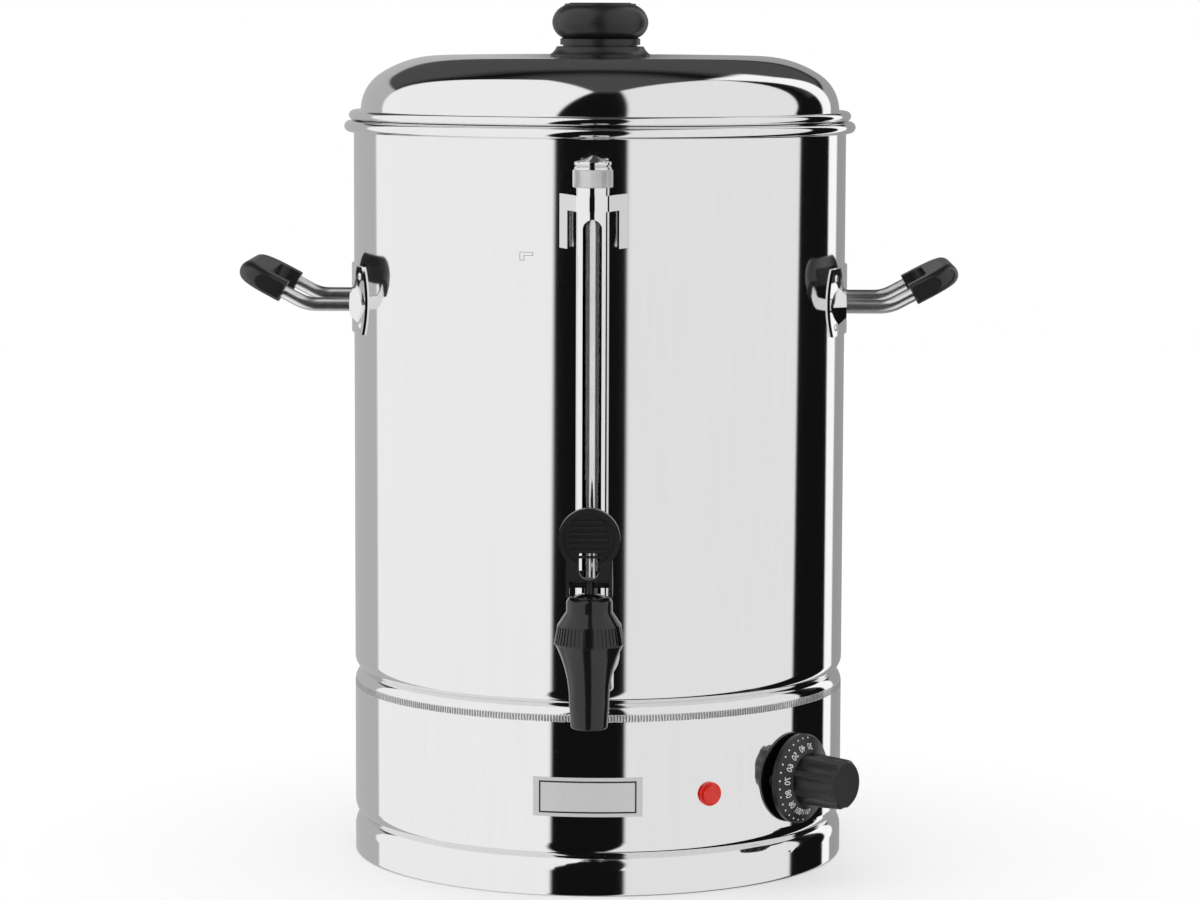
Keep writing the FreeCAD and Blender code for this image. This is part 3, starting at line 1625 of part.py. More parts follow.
def thermostatBulb():
    # sensing bulb under the floor and the fine tube that leads to the control box
    radius = size("bulbRadius").value
    long = size("bulbLength").value
    seat = size("tubeSeat").value
    run = size("tubeRun").value
    stand = size("tubeStand").value
    bend = size("tubeBend").value
    height = (floorTop - sheetWall).value - radius
    angle = math.radians(size("dialAngle").value)
    outward = FreeCAD.Vector(math.sin(angle), -math.cos(angle), 0)
    up = FreeCAD.Vector(0, 0, 1)
    along = FreeCAD.Vector(0, 1, 0)
    face = (arcDrop(innerRadius, size("thermoWidth") / 2) - thermoGap - size("thermoDepth")).value
    boxBack = outward * face + up * (size("dialHeight") + size("tubeEntry")).value
    bulbEnd = FreeCAD.Vector(size("bulbOffset").value, -size("bulbShift").value, height)
    bulb = Part.makeCylinder(radius, long, bulbEnd, along)
    below = outward * (face - stand) + up * (height - size("tubeSag").value)
    path = roundedPath([
        bulbEnd + along * seat, bulbEnd - along * run, below, boxBack - outward * stand, boxBack,
    ], [bend] * 3)
    start = path[0].valueAt(path[0].FirstParameter)
    circle = Part.Wire(Part.makeCircle(size("tubeRadius").value, start, -along))
    tube = Part.Wire(path).makePipeShell([circle], True, False)
    piece = doc.addObject("Part::Feature", "thermostat_bulb")
    piece.Shape = bulb.fuse(tube)
    return piece


def terminalBlock():
    # mains terminals on the base plate
    long = size("terminalLength")
    wide = size("terminalWidth")
    tall = size("terminalHeight")
    body = startBody("terminal_block")
    outline = addSketch(body, "terminalOutline", "XY_Plane")
    drawOutline(outline, box(-long / 2, -wide / 2, long / 2, wide / 2))
    pad(body, outline, tall)
    for index in range(3):
        for row in (-1, 1):
            well = addSketch(body, "well", "XY_Plane", tall)
            drawCircle(well, long * (index - 1) * 0.3, wide * 0.26 * row, wide * 0.16)
            pocket(body, well, tall * 0.5)
    return put(body, 0, size("terminalOffset"), size("plateHeight") + size("plateWall"))


def cableGland():
    # hexagon gland low on the back of the base, with its lead passage open
    thread = size("glandThread")
    bore = size("glandBore")
    flange = bodyRadius + size("glandFlange")
    dome = size("glandDomeRadius")
    end = flange + size("glandDome")
    body = startBody("cable_gland")
    turn(body, drawOutline(addSketch(body, "glandSection", "XY_Plane"), [
        (bore, size("glandTail") - bodyRadius),
        (bore, -end),
        (bore + 1, -end),
        (dome, 3 - end, 3, 1),
        (dome, -flange),
        (dome, -bodyRadius),
        (thread, -bodyRadius),
        (thread, size("glandTail") - bodyRadius),
    ]))
    flats = addSketch(body, "glandFlats", "XZ_Plane", bodyRadius)
    drawOutline(flats, hexagon(size("glandFlats")))
    pad(body, flats, size("glandFlange"))
    lead = addSketch(body, "leadBore", "XZ_Plane", bodyRadius - 1)
    drawCircle(lead, 0, 0, bore)
    pocket(body, lead, size("glandFlange") + 2, back=True)
    return put(body, 0, 0, size("glandHeight"), 180)


elementOpening = Size(
    math.degrees(math.asin((size("elementGap") / 2 + size("elementBend")).value / size("elementLoop").value)),
    "asin((%s) / %s)" % ((size("elementGap") / 2 + size("elementBend")).formula, size("elementLoop").formula),
)
elementLegX = size("elementLoop") * sine(elementOpening) - size("elementBend") * cosine(elementOpening)
elementLegY = size("elementLoop") * cosine(elementOpening) + size("elementBend") * sine(elementOpening)

rod = handleRod()
grip = handleGrip(rod)
bracket = handleBracket()
rivets = handleRivets()
pieces = [
    vesselShell(), vesselFloor(), baseHousing(), footRing(), basePlate(), baseScrews(),
    lidShell(), knobCollar(), lidKnob(), knobCap(), knobScrew(),
    gaugeGuard(), gaugeGlass(),
    gaugeSeal("gauge_seal_lower", guardFoot + size("glassLift")),
    gaugeSeal("gauge_seal_upper", glassTop - size("sealHeight")),
    gaugeCap(), gaugeStrap(), gaugeTee(),
    tapBody(), tapBonnet(), wallWasher("tap_washer_outer", True), wallWasher("tap_washer_inner", False),
    tapNut(), valveStem(), seatCup(), leverPin(), tapSpring(), tapLever(),
    rod, grip, bracket, rivets,
    mirrored(rod, "handle_rod_left"), mirrored(grip, "handle_grip_left"),
    mirrored(bracket, "handle_bracket_left"), mirrored(rivets, "handle_rivets_left"),
    pilotLens(), pilotBody(),
    thermostatBody(), thermostatScrews(), thermostatDial(), thermostatShaft(), thermostatBulb(),
    heatingElement(), elementNuts(), thermalCutout(), terminalBlock(), cableGland(),
]
doc.recompute()

for item in doc.Objects:
    if "Invalid" in item.State or "Error" in item.State:
        raise RuntimeError("%s failed: %s" % (item.Label, item.State))
for piece in pieces:
    shape = piece.Shape
    if shape.isNull() or not shape.isValid() or not shape.Solids:
        raise RuntimeError("%s has no valid solid" % piece.Label)
    print("%-22s %2d solids %12.1f mm3" % (piece.Label, len(shape.Solids), shape.Volume))
for piece in pieces:
    piece.Shape.exportStep("parts/%s.step" % piece.Label)
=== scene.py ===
import bpy
import json
import math
from mathutils import Matrix, Vector


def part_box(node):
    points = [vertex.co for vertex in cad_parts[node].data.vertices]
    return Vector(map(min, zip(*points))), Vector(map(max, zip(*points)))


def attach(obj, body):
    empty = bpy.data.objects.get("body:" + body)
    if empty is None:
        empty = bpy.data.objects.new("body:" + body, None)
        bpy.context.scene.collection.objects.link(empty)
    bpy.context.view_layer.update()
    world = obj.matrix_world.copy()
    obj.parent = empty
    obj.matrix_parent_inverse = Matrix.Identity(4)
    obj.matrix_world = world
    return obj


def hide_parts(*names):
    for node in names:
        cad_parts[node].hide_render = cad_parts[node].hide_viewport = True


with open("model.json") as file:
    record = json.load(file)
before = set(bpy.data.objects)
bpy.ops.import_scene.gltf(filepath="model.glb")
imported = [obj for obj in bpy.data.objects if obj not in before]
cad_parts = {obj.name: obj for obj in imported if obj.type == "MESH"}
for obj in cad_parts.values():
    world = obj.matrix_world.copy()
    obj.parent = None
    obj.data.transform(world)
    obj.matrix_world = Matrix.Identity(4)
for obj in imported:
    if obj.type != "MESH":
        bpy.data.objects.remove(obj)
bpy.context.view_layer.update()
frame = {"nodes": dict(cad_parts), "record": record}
nodes = frame["nodes"]
bpy.context.scene.view_settings.view_transform = "Standard"
print("frame loaded,", len(nodes), "nodes")


class Value:
    # one socket of a material, so that shader sums read as ordinary sums
    def __init__(self, finish, socket):
        self.finish = finish
        self.socket = socket

    def join(self, operation, *others, swapped=False):
        terms = list(others) + [self] if swapped else [self] + list(others)
        return self.finish.node("ShaderNodeMath", {"operation": operation}, dict(enumerate(terms)))

    def __add__(self, other):
        return self.join("ADD", other)

    def __sub__(self, other):
        return self.join("SUBTRACT", other)

    def __mul__(self, other):
        return self.join("MULTIPLY", other)

    def __radd__(self, other):
        return self.join("ADD", other, swapped=True)

    def __rsub__(self, other):
        return self.join("SUBTRACT", other, swapped=True)

    def __rmul__(self, other):
        return self.join("MULTIPLY", other, swapped=True)

    def __neg__(self):
        return self.join("MULTIPLY", -1.0)

    def sine(self):
        return self.join("SINE")

    def absolute(self):
        return self.join("ABSOLUTE")

    def above(self, edge, soft):
        # 0 below the edge and 1 above it, over a soft step
        return self.finish.node("ShaderNodeMapRange", {"interpolation_type": "SMOOTHSTEP"},
                                {0: self, 1: edge - soft, 2: edge + soft, 3: 0.0, 4: 1.0})


class Finish:
    # a material or world, and the one method that adds its nodes
    def __init__(self, owner):
        self.owner = owner
        owner.use_nodes = True
        self.tree = owner.node_tree
        self.tree.nodes.clear()

    def node(self, kind, settings=None, sockets=None, output=0):
        made = self.tree.nodes.new(kind)
        for key, setting in (settings or {}).items():
            setattr(made, key, setting)
        for key, feed in (sockets or {}).items():
            if isinstance(feed, Value):
                self.tree.links.new(feed.socket, made.inputs[key])
            else:
                made.inputs[key].default_value = feed
        return Value(self, made.outputs[output]) if made.outputs else None

    def place(self):
        return self.node("ShaderNodeTexCoord", output=3)

    def parts(self, vector):
        split = self.node("ShaderNodeSeparateXYZ", sockets={0: vector}).socket.node
        return [Value(self, split.outputs[i]) for i in range(3)]

    def noise(self, scale, detail=2.0, stretch=(1, 1, 1), rough=0.5):
        spread = self.node("ShaderNodeMapping", sockets={"Vector": self.place(), "Scale": stretch})
        return self.node("ShaderNodeTexNoise", sockets={
            "Vector": spread, "Scale": scale, "Detail": detail, "Roughness": rough})

    def mix(self, factor, first, second):
        return self.node("ShaderNodeMix", {"data_type": "RGBA"}, {0: factor, 6: first, 7: second}, output=2)

    def bump(self, height, strength, depth, before=None):
        sockets = {"Height": height, "Strength": strength, "Distance": depth}
        if before is not None:
            sockets["Normal"] = before
        return self.node("ShaderNodeBump", sockets=sockets)

    def surface(self, **sockets):
        shader = self.node("ShaderNodeBsdfPrincipled", sockets={
            key.replace("_", " "): feed for key, feed in sockets.items()})
        self.node("ShaderNodeOutputMaterial", sockets={"Surface": shader})
        return self.owner


def newFinish(name):
    return Finish(bpy.data.materials.new(name))


def grey(level):
    return (level, level, level, 1)


steelLook = {"tone": 0.82, "darker": 0.03, "lighter": 0.02, "cool": 0.005, "rough": 0.035, "roughSwing": 0.05,
             "grain": 260, "brushed": (1, 1, 0.06), "cloud": 9, "streak": 34, "streaked": (1, 1, 0.12),
             "waviness": 0.00003, "scratch": 0.000002}


def polishedSteel(name="polishedSteel", rough=steelLook["rough"], stretch=steelLook["brushed"]):
    look = steelLook
    made = newFinish(name)
    grain = made.noise(look["grain"], 3, stretch)
    cloud = made.noise(look["cloud"], 2)
    streak = made.noise(look["streak"], 2, look["streaked"])
    light = look["tone"] + look["lighter"]
    colour = made.mix(grain * 0.6 + cloud * 0.4, grey(look["tone"] - look["darker"]),
                      (light, light, light + look["cool"], 1))
    roughness = rough + (grain * 0.4 + cloud * 0.6) * look["roughSwing"]
    wave = made.bump(streak, 0.35, look["waviness"])
    fine = made.bump(grain, 0.4, look["scratch"], wave)
    return made.surface(Base_Color=colour, Metallic=1.0, Roughness=roughness, Normal=fine)


def angleRound(made, reach=0.0):
    # the angle round an upright axis that stands this far in front of the urn's own
    across, ahead, up = made.parts(made.place())
    return across.join("ARCTAN2", -(ahead + reach)), up


knurlLook = {"axis": 0.143, "low": 0.3414, "high": 0.3494, "edge": 0.0002, "starts": 34, "slope": 3600,
             "deep": 0.0005, "grain": 300, "shadedValley": 0.74, "litCrest": 0.84, "rough": 0.06, "roughSwing": 0.05}


def knurledSteel():
    # crossed helical grooves round the gauge cap, with painted shade: the colour is darker in the grooves than
    # on the crests
    look = knurlLook
    made = newFinish("knurledSteel")
    angle, up = angleRound(made, look["axis"])
    grain = made.noise(look["grain"], 2)
    right = (angle * look["starts"] + up * look["slope"]).sine().absolute()
    left = (angle * look["starts"] - up * look["slope"]).sine().absolute()
    band = up.above(look["low"], look["edge"]) * (1 - up.above(look["high"], look["edge"]))
    ridges = right.join("MINIMUM", left) * band
    # painted shade: the grooves get a darker grey than the crests
    colour = made.mix(ridges * 0.8 + grain * 0.2, grey(look["shadedValley"]), grey(look["litCrest"]))
    return made.surface(Base_Color=colour, Metallic=1.0, Roughness=look["rough"] + grain * look["roughSwing"],
                        Normal=made.bump(ridges, 1.0, look["deep"]))


tickLook = {"low": 0.0848, "high": 0.0882, "lowEdge": 0.0003, "highEdge": 0.0004, "ragged": 0.0006,
            "pitch": 0.00145, "radius": 0.123, "ripple": 500, "uneven": 1.6, "narrow": 0.55, "soft": 0.3,
            "deep": 0.0003, "dark": 0.30, "roughSwing": 0.03, "markRough": 0.2}


def tickedSteel():
    # short upright marks of the welded seam, all round the housing's shoulder
    look = tickLook
    made = newFinish("tickedSteel")
    angle, up = angleRound(made)
    grain = made.noise(steelLook["grain"], 3, steelLook["brushed"])
    ripple = made.noise(look["ripple"], 2)
    wave = (angle * (math.pi * look["radius"] / look["pitch"]) + ripple * look["uneven"]).sine().absolute()
    start = up.above(look["low"] + ripple * look["ragged"], look["lowEdge"])
    marks = wave.above(look["narrow"], look["soft"]) * (start * (1 - up.above(look["high"], look["highEdge"])))
    tone = steelLook["tone"]
    plain = made.mix(grain, grey(tone - steelLook["darker"]), grey(tone + steelLook["lighter"]))
    return made.surface(Base_Color=made.mix(marks, plain, grey(look["dark"])), Metallic=1.0,
                        Roughness=steelLook["rough"] + grain * look["roughSwing"] + marks * look["markRough"],
                        Normal=made.bump(marks, 0.8, look["deep"]))


def plainSteel(name="zincSteel", tone=0.62, rough=0.28):
    made = newFinish(name)
    grain = made.noise(180, 4)
    cloud = made.noise(30, 3)
    colour = made.mix(cloud, grey(tone - 0.06), (tone + 0.05, tone + 0.05, tone + 0.06, 1))
    return made.surface(Base_Color=colour, Metallic=1.0, Roughness=rough + grain * 0.15,
                        Normal=made.bump(grain, 0.3, 0.00002))


def blackPlastic(name, tone=0.012, rough=0.3, grain=0.00002, scale=900):
    made = newFinish(name)
    fine = made.noise(scale, 3)
    cloud = made.noise(40, 3)
    colour = made.mix(cloud, grey(tone * 0.7), (tone * 1.3, tone * 1.3, tone * 1.35, 1))
    return made.surface(Base_Color=colour, Roughness=rough - 0.05 + cloud * 0.1,
                        Normal=made.bump(fine, 0.5, grain), Specular_IOR_Level=0.5)


def redLens(name="redLens"):
    made = newFinish(name)
    cloud = made.noise(300, 2)
    colour = made.mix(cloud, (0.50, 0.010, 0.006, 1), (0.75, 0.03, 0.015, 1))
    return made.surface(Base_Color=colour, Roughness=0.10 + cloud * 0.06, Transmission_Weight=0.35, IOR=1.49,
                        Emission_Color=colour, Emission_Strength=0.25, Normal=made.bump(cloud, 0.2, 0.00003))


def clearGlass(name="clearGlass"):
    made = newFinish(name)
    cloud = made.noise(60, 2)
    return made.surface(Base_Color=made.mix(cloud, grey(0.93), grey(0.98)), Roughness=0.01 + cloud * 0.02,
                        Transmission_Weight=1.0, IOR=1.47)


def siliconeRubber(name="siliconeRubber", tone=(0.62, 0.60, 0.57, 1)):
    made = newFinish(name)
    cloud = made.noise(200, 3)
    light = tuple(min(1, part * 1.15) for part in tone[:3]) + (1,)
    return made.surface(Base_Color=made.mix(cloud, tone, light), Roughness=0.55 + cloud * 0.2,
                        Normal=made.bump(cloud, 0.3, 0.00004))


steel = polishedSteel()
handleSteel = polishedSteel("handleSteel", rough=0.22)
chrome = polishedSteel("chromeTrim", rough=0.05, stretch=(1, 1, 1))
zinc = plainSteel()
tapBlack = blackPlastic("glossBlack", tone=0.008, rough=0.13, grain=0.000004, scale=300)
mouldBlack = blackPlastic("mouldedBlack", tone=0.012, rough=0.34)
finishOf = {
    "polished_steel": steel, "chrome_trim": chrome, "zinc_steel": zinc, "black_plastic": mouldBlack,
    "red_lens": redLens(), "clear_glass": clearGlass(), "silicone": siliconeRubber(),
}
ownFinish = {
    "tap_body": tapBlack, "tap_bonnet": tapBlack,
    "knob_collar": mouldBlack, "valve_stem": mouldBlack, "lever_pin": mouldBlack,
    "gauge_cap": knurledSteel(), "base_housing": tickedSteel(),
    "handle_rod_right": handleSteel, "handle_rod_left": handleSteel,
}
slotOf = {part["node"]: part["material_slot"] for part in frame["record"]["subparts"]}
for name, node in nodes.items():
    made = ownFinish.get(name) or finishOf.get(slotOf[name], mouldBlack)
    node.data.materials.clear()
    node.data.materials.append(made)
print("finishes set")


def sightLine(across, up):
    across, up = math.radians(across), math.radians(up)
    return Vector((math.sin(across) * math.cos(up), math.cos(across) * math.cos(up), math.sin(up)))


def addPiece(name, places, faces, finish, body, creases=30):
    # a mesh piece in metres that rides on one body
    mesh = bpy.data.meshes.new(name)
    mesh.from_pydata(places, [], faces)
    mesh.materials.append(finish)
    mesh.shade_smooth()
    mesh.set_sharp_from_angle(angle=math.radians(creases))
    piece = bpy.data.objects.new(name, mesh)
    bpy.context.scene.collection.objects.link(piece)
    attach(piece, body)
    return piece


lathe = {"turns": 288, "arcSteps": 28, "support": 0.12, "millimetre": 0.001}


def sectionPoints(places):
    # a closed half section in millimetres: (r, z) ends a straight run, (r, z, radius, side) an arc
    # whose centre lies left (+1) or right (-1) of the way
    if places[0][:2] == places[-1][:2]:
        places = [places[-1]] + places[1:-1]
    points = []
    for here, there in zip(places, places[1:] + places[:1]):
        first, last = Vector(here[:2]), Vector(there[:2])
        way = last - first
        points.append(first)
        if len(there) == 2:
            lead = way * min(lathe["support"] / way.length, 0.25)
            points += [first + lead, last - lead]
            continue
        radius, side = there[2:]
        rise = math.sqrt(max(radius * radius - way.length_squared / 4, 0.0))
        middle = first + way / 2 + Vector((-way.y, way.x)).normalized() * (rise * side)
        start = math.atan2(first.y - middle.y, first.x - middle.x)
        end = math.atan2(last.y - middle.y, last.x - middle.x)
        swing = ((end - start) * side) % math.tau * side
        for step in range(1, lathe["arcSteps"]):
            angle = start + swing * step / lathe["arcSteps"]
            points.append(middle + Vector((math.cos(angle), math.sin(angle))) * radius)
    return points


def turnedPiece(name, places, finish, body, node):
    # a smooth turned shell that stands for the node of the same outline
    points = sectionPoints(places)
    count, turns = len(points), lathe["turns"]
    spots, faces = [], []
    for turn in range(turns):
        angle = math.tau * turn / turns
        for point in points:
            radius = point.x * lathe["millimetre"]
            spots.append((radius * math.cos(angle), radius * math.sin(angle), point.y * lathe["millimetre"]))
        other = (turn + 1) % turns
        for index in range(count):
            after = (index + 1) % count
            here, there = turn * count, other * count
            faces.append((here + index, there + index, there + after, here + after))
    piece = addPiece(name, spots, faces, finish, body)
    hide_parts(node)
    return piece


steelSizes = {"body": 123.0, "wall": 0.8, "rimTop": 368.3, "rimBead": 2.75, "hem": 7.2, "hemDepth": 4.0,
              "hemTop": 99.7, "neckDrop": 5.0, "skirtDrop": 20.7}


def makeTank():
    size = steelSizes
    body, wall, bead, hem = size["body"], size["wall"], size["rimBead"], size["hem"]
    inner = body - wall
    neck = body - size["hemDepth"]
    across = hem - size["hemDepth"]
    rim, axis = size["rimTop"] - bead, inner + bead
    notch = size["hemTop"] - math.sqrt(hem * hem - across * across)
    innerHem = hem - wall
    innerAcross = neck - wall - (body - hem)
    innerNotch = size["hemTop"] - math.sqrt(innerHem ** 2 - innerAcross ** 2)
    flareTop = notch - size["neckDrop"]
    flareEnd = flareTop - (inner - neck)
    skirt = size["hemTop"] - size["skirtDrop"]
    turnedPiece("tankShell", [
        (inner, size["hemTop"]), (inner, rim), (axis, size["rimTop"], bead, -1), (axis + bead, rim, bead, -1),
        (axis, rim - bead, bead, -1), (body, rim - math.sqrt(bead ** 2 - (axis - body) ** 2), bead, -1),
        (body, size["hemTop"]), (neck, notch, hem, -1), (neck, flareTop), (inner, flareEnd), (inner, skirt),
        (inner - wall, skirt), (inner - wall, flareEnd + wall / 2), (neck - wall, flareTop + wall / 2),
        (neck - wall, innerNotch), (inner, size["hemTop"], innerHem, 1),
    ], steel, "urn", "vessel_shell")


lidSizes = {"gap": 0.3, "inset": 3.5, "bead": 2.45, "beadReach": 2.4, "crown": 53.8, "shoulder": 21.6,
            "breakAt": 33.9, "skirtDrop": 8.0, "skirtClear": 1.8, "hole": 2.55}


def makeLid():
    size, wall, body = lidSizes, steelSizes["wall"], steelSizes["body"]
    crown, shoulder, bead, hole = size["crown"], size["shoulder"], size["bead"], size["hole"]
    leanX, leanZ = math.sin(math.radians(size["breakAt"])), math.cos(math.radians(size["breakAt"]))
    seat = steelSizes["rimTop"] + size["gap"]
    base = seat + bead * 2
    edge = body - size["inset"]
    flat = edge - shoulder - (crown - shoulder) * leanX
    top = base + crown - (crown - shoulder) * leanZ
    axis = body + size["beadReach"] - bead
    skirt = seat - size["skirtDrop"]
    skirtEdge = body - wall - size["skirtClear"]
    turnedPiece("lidDome", [
        (hole, top), (flat, top), (flat + crown * leanX, top - crown + crown * leanZ, crown, -1),
        (edge, base, shoulder, -1), (axis, base), (axis + bead, seat + bead, bead, -1), (axis, seat, bead, -1),
        (skirtEdge, seat), (skirtEdge, skirt), (edge - wall, skirt), (edge - wall, base),
        (flat + (crown - wall) * leanX, top - crown + (crown - wall) * leanZ, shoulder - wall, 1),
        (flat, top - wall, crown - wall, 1), (hole, top - wall),
    ], steel, "lid", "lid_shell")


plate = {"angle": -1.0, "height": 0.0485, "width": 0.053, "tall": 0.019, "corner": 0.0006, "stand": 0.00012,
         "borderWidth": 0.047, "borderTall": 0.0155, "line": 0.0007, "steps": 48, "tone": 0.66, "swing": 0.03}


def onWall(across, up, stand, angle=None):
    # a place on the housing's wall, measured along it from the plate's middle
    radius = steelSizes["body"] * lathe["millimetre"]
    turn = math.radians(plate["angle"] if angle is None else angle) + across / radius
    reach = radius + stand
    return (reach * math.sin(turn), -reach * math.cos(turn), up)


def wallBand(name, one, other, stand, finish, angle=None):
    # a thin strip between two rows of places of the same count
    count = len(one)
    spots = [onWall(x, z, stand, angle) for x, z in one + other]
    faces = [(i, i + 1, count + i + 1, count + i) for i in range(count - 1)]
    return addPiece(name, spots, faces, finish, "urn")


def boxLoop(width, tall, steps):
    # places round a rectangle, close enough together to follow the wall
    half, high = width / 2, tall / 2
    spots = []
    for (x0, z0), (x1, z1) in zip([(-half, -high), (half, -high), (half, high), (-half, high)],
                                  [(half, -high), (half, high), (-half, high), (-half, -high)]):
        spots += [(x0 + (x1 - x0) * i / steps, z0 + (z1 - z0) * i / steps) for i in range(steps)]
    return spots + [(-half, -high)]


def makePlate():
    look = plate
    base, steps = look["height"], look["steps"]
    foil = newFinish("plateSilver")
    grain = foil.noise(700, 3)
    colour = foil.mix(grain, grey(look["tone"] - look["swing"]), grey(look["tone"] + look["swing"]))
    silver = foil.surface(Base_Color=colour, Metallic=0.25, Roughness=0.5 + grain * 0.1)
    row = [-look["width"] / 2 + look["width"] * i / steps for i in range(steps + 1)]
    high = look["tall"] / 2
    wallBand("labelPlate", [(x, base - high) for x in row], [(x, base + high) for x in row],
             look["stand"], silver)
    outer = boxLoop(look["borderWidth"], look["borderTall"], steps)
    inner = boxLoop(look["borderWidth"] - look["line"] * 2, look["borderTall"] - look["line"] * 2, steps)
    wallBand("labelBorder", [(x, base + z) for x, z in outer], [(x, base + z) for x, z in inner],
             look["stand"] * 2, mouldBlack)


levelMark = {"angle": -16.6, "height": 0.3055, "wide": 0.0066, "tall": 0.0040, "foot": 0.0022, "arm": 0.0017,
             "line": 0.00018, "stand": 0.00006}


def makeLevelMark():
    # outlined corner mark at the highest filling level
    look = levelMark
    wide, tall, foot, arm, line = look["wide"], look["tall"], look["foot"], look["arm"], look["line"]
    outer = [(0, 0), (foot, 0), (foot, tall - arm), (wide, tall - arm), (wide, tall), (0, tall), (0, 0)]
    inner = [(line, line), (foot - line, line), (foot - line, tall - arm + line),
             (wide - line, tall - arm + line), (wide - line, tall - line), (line, tall - line), (line, line)]
    wallBand("levelMark", [(x, look["height"] + z) for x, z in outer],
             [(x, look["height"] + z) for x, z in inner],
             look["stand"], mouldBlack, look["angle"])


dialLook = {"angle": 53.0, "height": 0.0497, "face": 0.1315, "rim": 0.128, "gripRadius": 0.0132,
            "rimRadius": 0.0212, "textRadius": 0.0163, "textTall": 0.0031, "letterFit": 1.35,
            "dotRadius": 0.0202, "dot": 0.00042, "dotSides": 12, "lift": 0.00006,
            "first": 30, "last": 110, "step": 5, "numbered": 10, "start": -8.6, "turn": 11.7}


def dialSpot(swing, radius, across=0.0, beyond=0.0):
    # a place on the dial's sloped face; swing is counted counter-clockwise from the top
    look = dialLook
    outward = sightLine(look["angle"], 0) * Vector((1, -1, 1))
    up = Vector((0, 0, 1))
    left = outward.cross(up)
    radial = up * math.cos(math.radians(swing)) + left * math.sin(math.radians(swing))
    side = radial.cross(outward)
    reach = radius + beyond
    fall = (reach - look["gripRadius"]) / (look["rimRadius"] - look["gripRadius"])
    depth = look["face"] + (look["rim"] - look["face"]) * fall + look["lift"]
    return outward * depth + radial * reach - side * across + up * look["height"]


def makeDialNumbers():
    look = dialLook
    spots, faces = [], []
    for value in range(look["first"], look["last"] + 1, look["step"]):
        swing = look["start"] + look["turn"] * (value - look["first"]) / look["step"]
        start = len(spots)
        for side in range(look["dotSides"]):
            angle = math.tau * side / look["dotSides"]
            across, beyond = look["dot"] * math.cos(angle), look["dot"] * math.sin(angle)
            spots.append(dialSpot(swing, look["dotRadius"], across, beyond))
        faces.append(tuple(range(start, start + look["dotSides"])))
        if value % look["numbered"]:
            continue
        letters = bpy.data.curves.new("number%d" % value, "FONT")
        letters.body = str(value)
        letters.size = look["textTall"] * look["letterFit"]
        letters.align_x = "CENTER"
        holder = bpy.data.objects.new("number%d" % value, letters)
        flat = bpy.data.meshes.new_from_object(holder)
        start = len(spots)
        spots += [dialSpot(swing, look["textRadius"], place.co.x, place.co.y - look["textTall"] / 2)
                  for place in flat.vertices]
        faces += [tuple(start + index for index in face.vertices) for face in flat.polygons]
        bpy.data.objects.remove(holder)
        bpy.data.meshes.remove(flat)
    paint = newFinish("whitePaint")
    cloud = paint.noise(400, 2)
    white = paint.surface(Base_Color=paint.mix(cloud, grey(0.78), grey(0.86)), Roughness=0.5 + cloud * 0.1)
    addPiece("dialNumbers", spots, faces, white, "dial")


# sizes of the dark sheets of painted shade between the lever's cheeks
leverShadeSheet = {"inner": 0.0029, "outer": 0.0092, "front": 0.0032, "back": 0.0040, "low": -0.0020, "high": 0.0060}


def makeLeverWebs():
    # dark sheets between the lever's cheeks, on both sides of the stem: painted shade standing in for the
    # shadowed recess under the lever
    look = leverShadeSheet
    low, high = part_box("lever_pin")
    pivot = [(one + other) / 2 for one, other in zip(low, high)]
    for side, name in ((-1, "leverShadeSheetLeft"), (1, "leverShadeSheetRight")):
        xs = (look["inner"] * side, look["outer"] * side)
        spots = [(x, pivot[1] + y, pivot[2] + z) for x in xs for y in (look["front"], look["back"])
                 for z in (look["low"], look["high"])]
        faces = [(0, 1, 3, 2), (4, 6, 7, 5), (0, 4, 5, 1), (2, 3, 7, 6), (0, 2, 6, 4), (1, 5, 7, 3)]
        addPiece(name, spots, faces, mouldBlack, "lever")


view = {"side": 1.3, "distance": 2.035, "height": 0.425, "down": 6.24, "turn": 1.285, "roll": 0.186,
        "lens": 121.65, "sensor": 36, "near": 0.05, "far": 60}


def makeCamera():
    camera = bpy.data.objects.new("camera", bpy.data.cameras.new("camera"))
    bpy.context.scene.collection.objects.link(camera)
    side = math.radians(view["side"])
    turn = Matrix.Rotation(math.radians(view["turn"]), 4, "Z")
    tip = Matrix.Rotation(math.radians(90 - view["down"]), 4, "X")
    roll = Matrix.Rotation(math.radians(view["roll"]), 4, "Z")
    away = view["distance"]
    spot = Matrix.Translation((away * math.sin(side), -away * math.cos(side), view["height"]))
    camera.matrix_world = spot @ turn @ tip @ roll
    camera.data.lens = view["lens"]
    camera.data.sensor_width = view["sensor"]
    camera.data.clip_start = view["near"]
    camera.data.clip_end = view["far"]
    bpy.context.scene.camera = camera


# Panels are given by their corners as (angle to the right of the tap side, height angle), in
# degrees. Each straight edge of a flat panel is a plane through the urn.

studio = {
    "facing": 1.3, "dark": 0.006, "ceiling": 0.075, "edge": 0.02, "diffuse": 0.9,
    "roof": (0.88, 0.06), "behind": (0.60, 0.08), "behindHigh": (0.30, 0.04),
    "panels": [
        (0.49, [(-124, 0), (-126, 24), (-179.5, 15.5), (-179.5, 0)]),
        (0.35, [(179.5, 0), (179.5, 15.5), (146, 14), (143, 0)]),
        (1.0, [(-20.3, 0), (-5.3, 62.5), (-142, 72), (-137, 54), (-128, 0)]),
        (0.90, [(136, 60), (17, 65), (12.7, 0)], [(107, 0), (137, 56)]),
        (1.10, [(146, 0), (157, 42), (139, 60), (138, 54), (114.6, 0)]),
    ],
}


def panelMask(world, ray, corners):
    # 1 inside the panel: every edge's plane has the ray on its inner side
    mask = None
    for one, other in zip(corners, corners[1:]):
        inward = sightLine(*other).cross(sightLine(*one)).normalized()
        side = world.node("ShaderNodeVectorMath", {"operation": "DOT_PRODUCT"},
                          {0: ray, 1: tuple(inward)}, output=1)
        step = side.above(0.0, studio["edge"])
        mask = step if mask is None else mask * step
    return mask


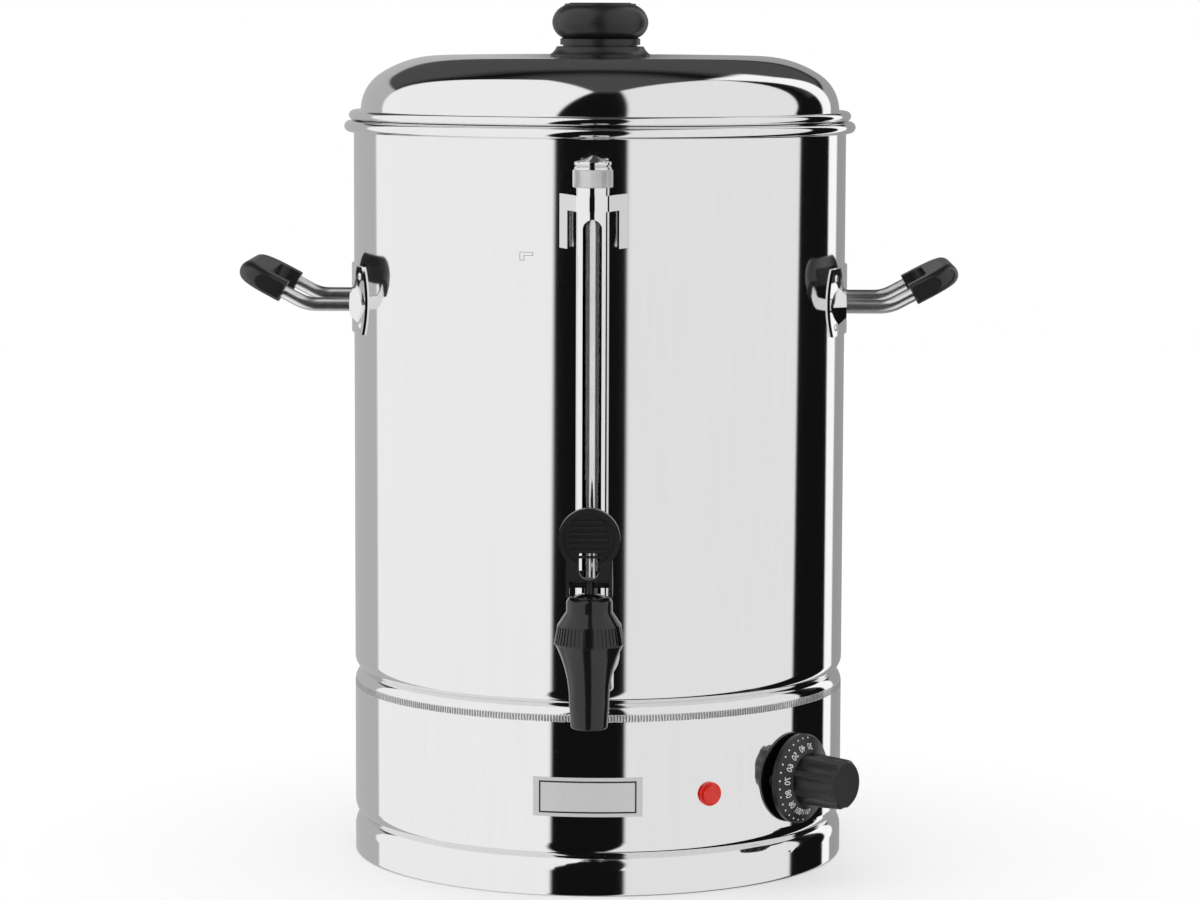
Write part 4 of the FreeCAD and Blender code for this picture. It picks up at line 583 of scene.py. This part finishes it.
def makeWorld():
    made = bpy.data.worlds.new("studio")
    bpy.context.scene.world = made
    world = Finish(made)
    turned = world.node("ShaderNodeMapping", {"vector_type": "POINT"}, {
        "Vector": world.node("ShaderNodeTexCoord", output=0),
        "Rotation": (0, 0, math.radians(-studio["facing"])), "Scale": (1, 1, 1)})
    flipped = world.node("ShaderNodeVectorMath", {"operation": "MULTIPLY"}, {0: turned, 1: (1, -1, 1)})
    side, ahead, up = world.parts(flipped)
    # dark gap in front, and a grey ceiling overhead and high behind
    behind = (-ahead).above(*studio["behind"]) * up.above(*studio["behindHigh"])
    roof = up.above(*studio["roof"]).join("MAXIMUM", behind)
    light = studio["dark"] + roof * (studio["ceiling"] - studio["dark"])
    for panel in studio["panels"]:
        mask = None
        for corners in panel[1:]:
            part = panelMask(world, flipped, corners)
            mask = part if mask is None else mask * part
        light = light * (1 - mask) + panel[0] * mask
    path = world.node("ShaderNodeLightPath").socket.node
    camera = Value(world, path.outputs["Is Camera Ray"])
    through = Value(world, path.outputs["Is Transmission Ray"])
    diffuse = Value(world, path.outputs["Is Diffuse Ray"])
    plain = camera.join("MAXIMUM", through)
    light = light * (1 - diffuse) + studio["diffuse"] * diffuse
    light = light * (1 - plain) + plain
    shader = world.node("ShaderNodeBackground", sockets={"Color": light, "Strength": 1.0})
    world.node("ShaderNodeOutputWorld", sockets={"Surface": shader})


floorLook = {"half": 3.0, "tone": 0.92, "glow": 0.22}


def makeFloor():
    half = floorLook["half"]
    mesh = bpy.data.meshes.new("floor")
    corners = [(-half, -half, 0), (half, -half, 0), (half, half, 0), (-half, half, 0)]
    mesh.from_pydata(corners, [], [(0, 1, 2, 3)])
    floor = bpy.data.objects.new("floor", mesh)
    bpy.context.scene.collection.objects.link(floor)
    made = newFinish("floorPaper")
    grain = made.noise(60, 2)
    tone = floorLook["tone"]
    mesh.materials.append(made.surface(
        Base_Color=made.mix(grain, grey(tone), grey(tone + 0.02)), Roughness=0.9, Specular_IOR_Level=0.0,
        Emission_Color=grey(1.0), Emission_Strength=floorLook["glow"]))
    floor.visible_glossy = False


makeTank()
makeLid()
makePlate()
makeLevelMark()
makeDialNumbers()
makeLeverWebs()
print("pieces made")
makeCamera()
makeWorld()
makeFloor()
print("studio set")
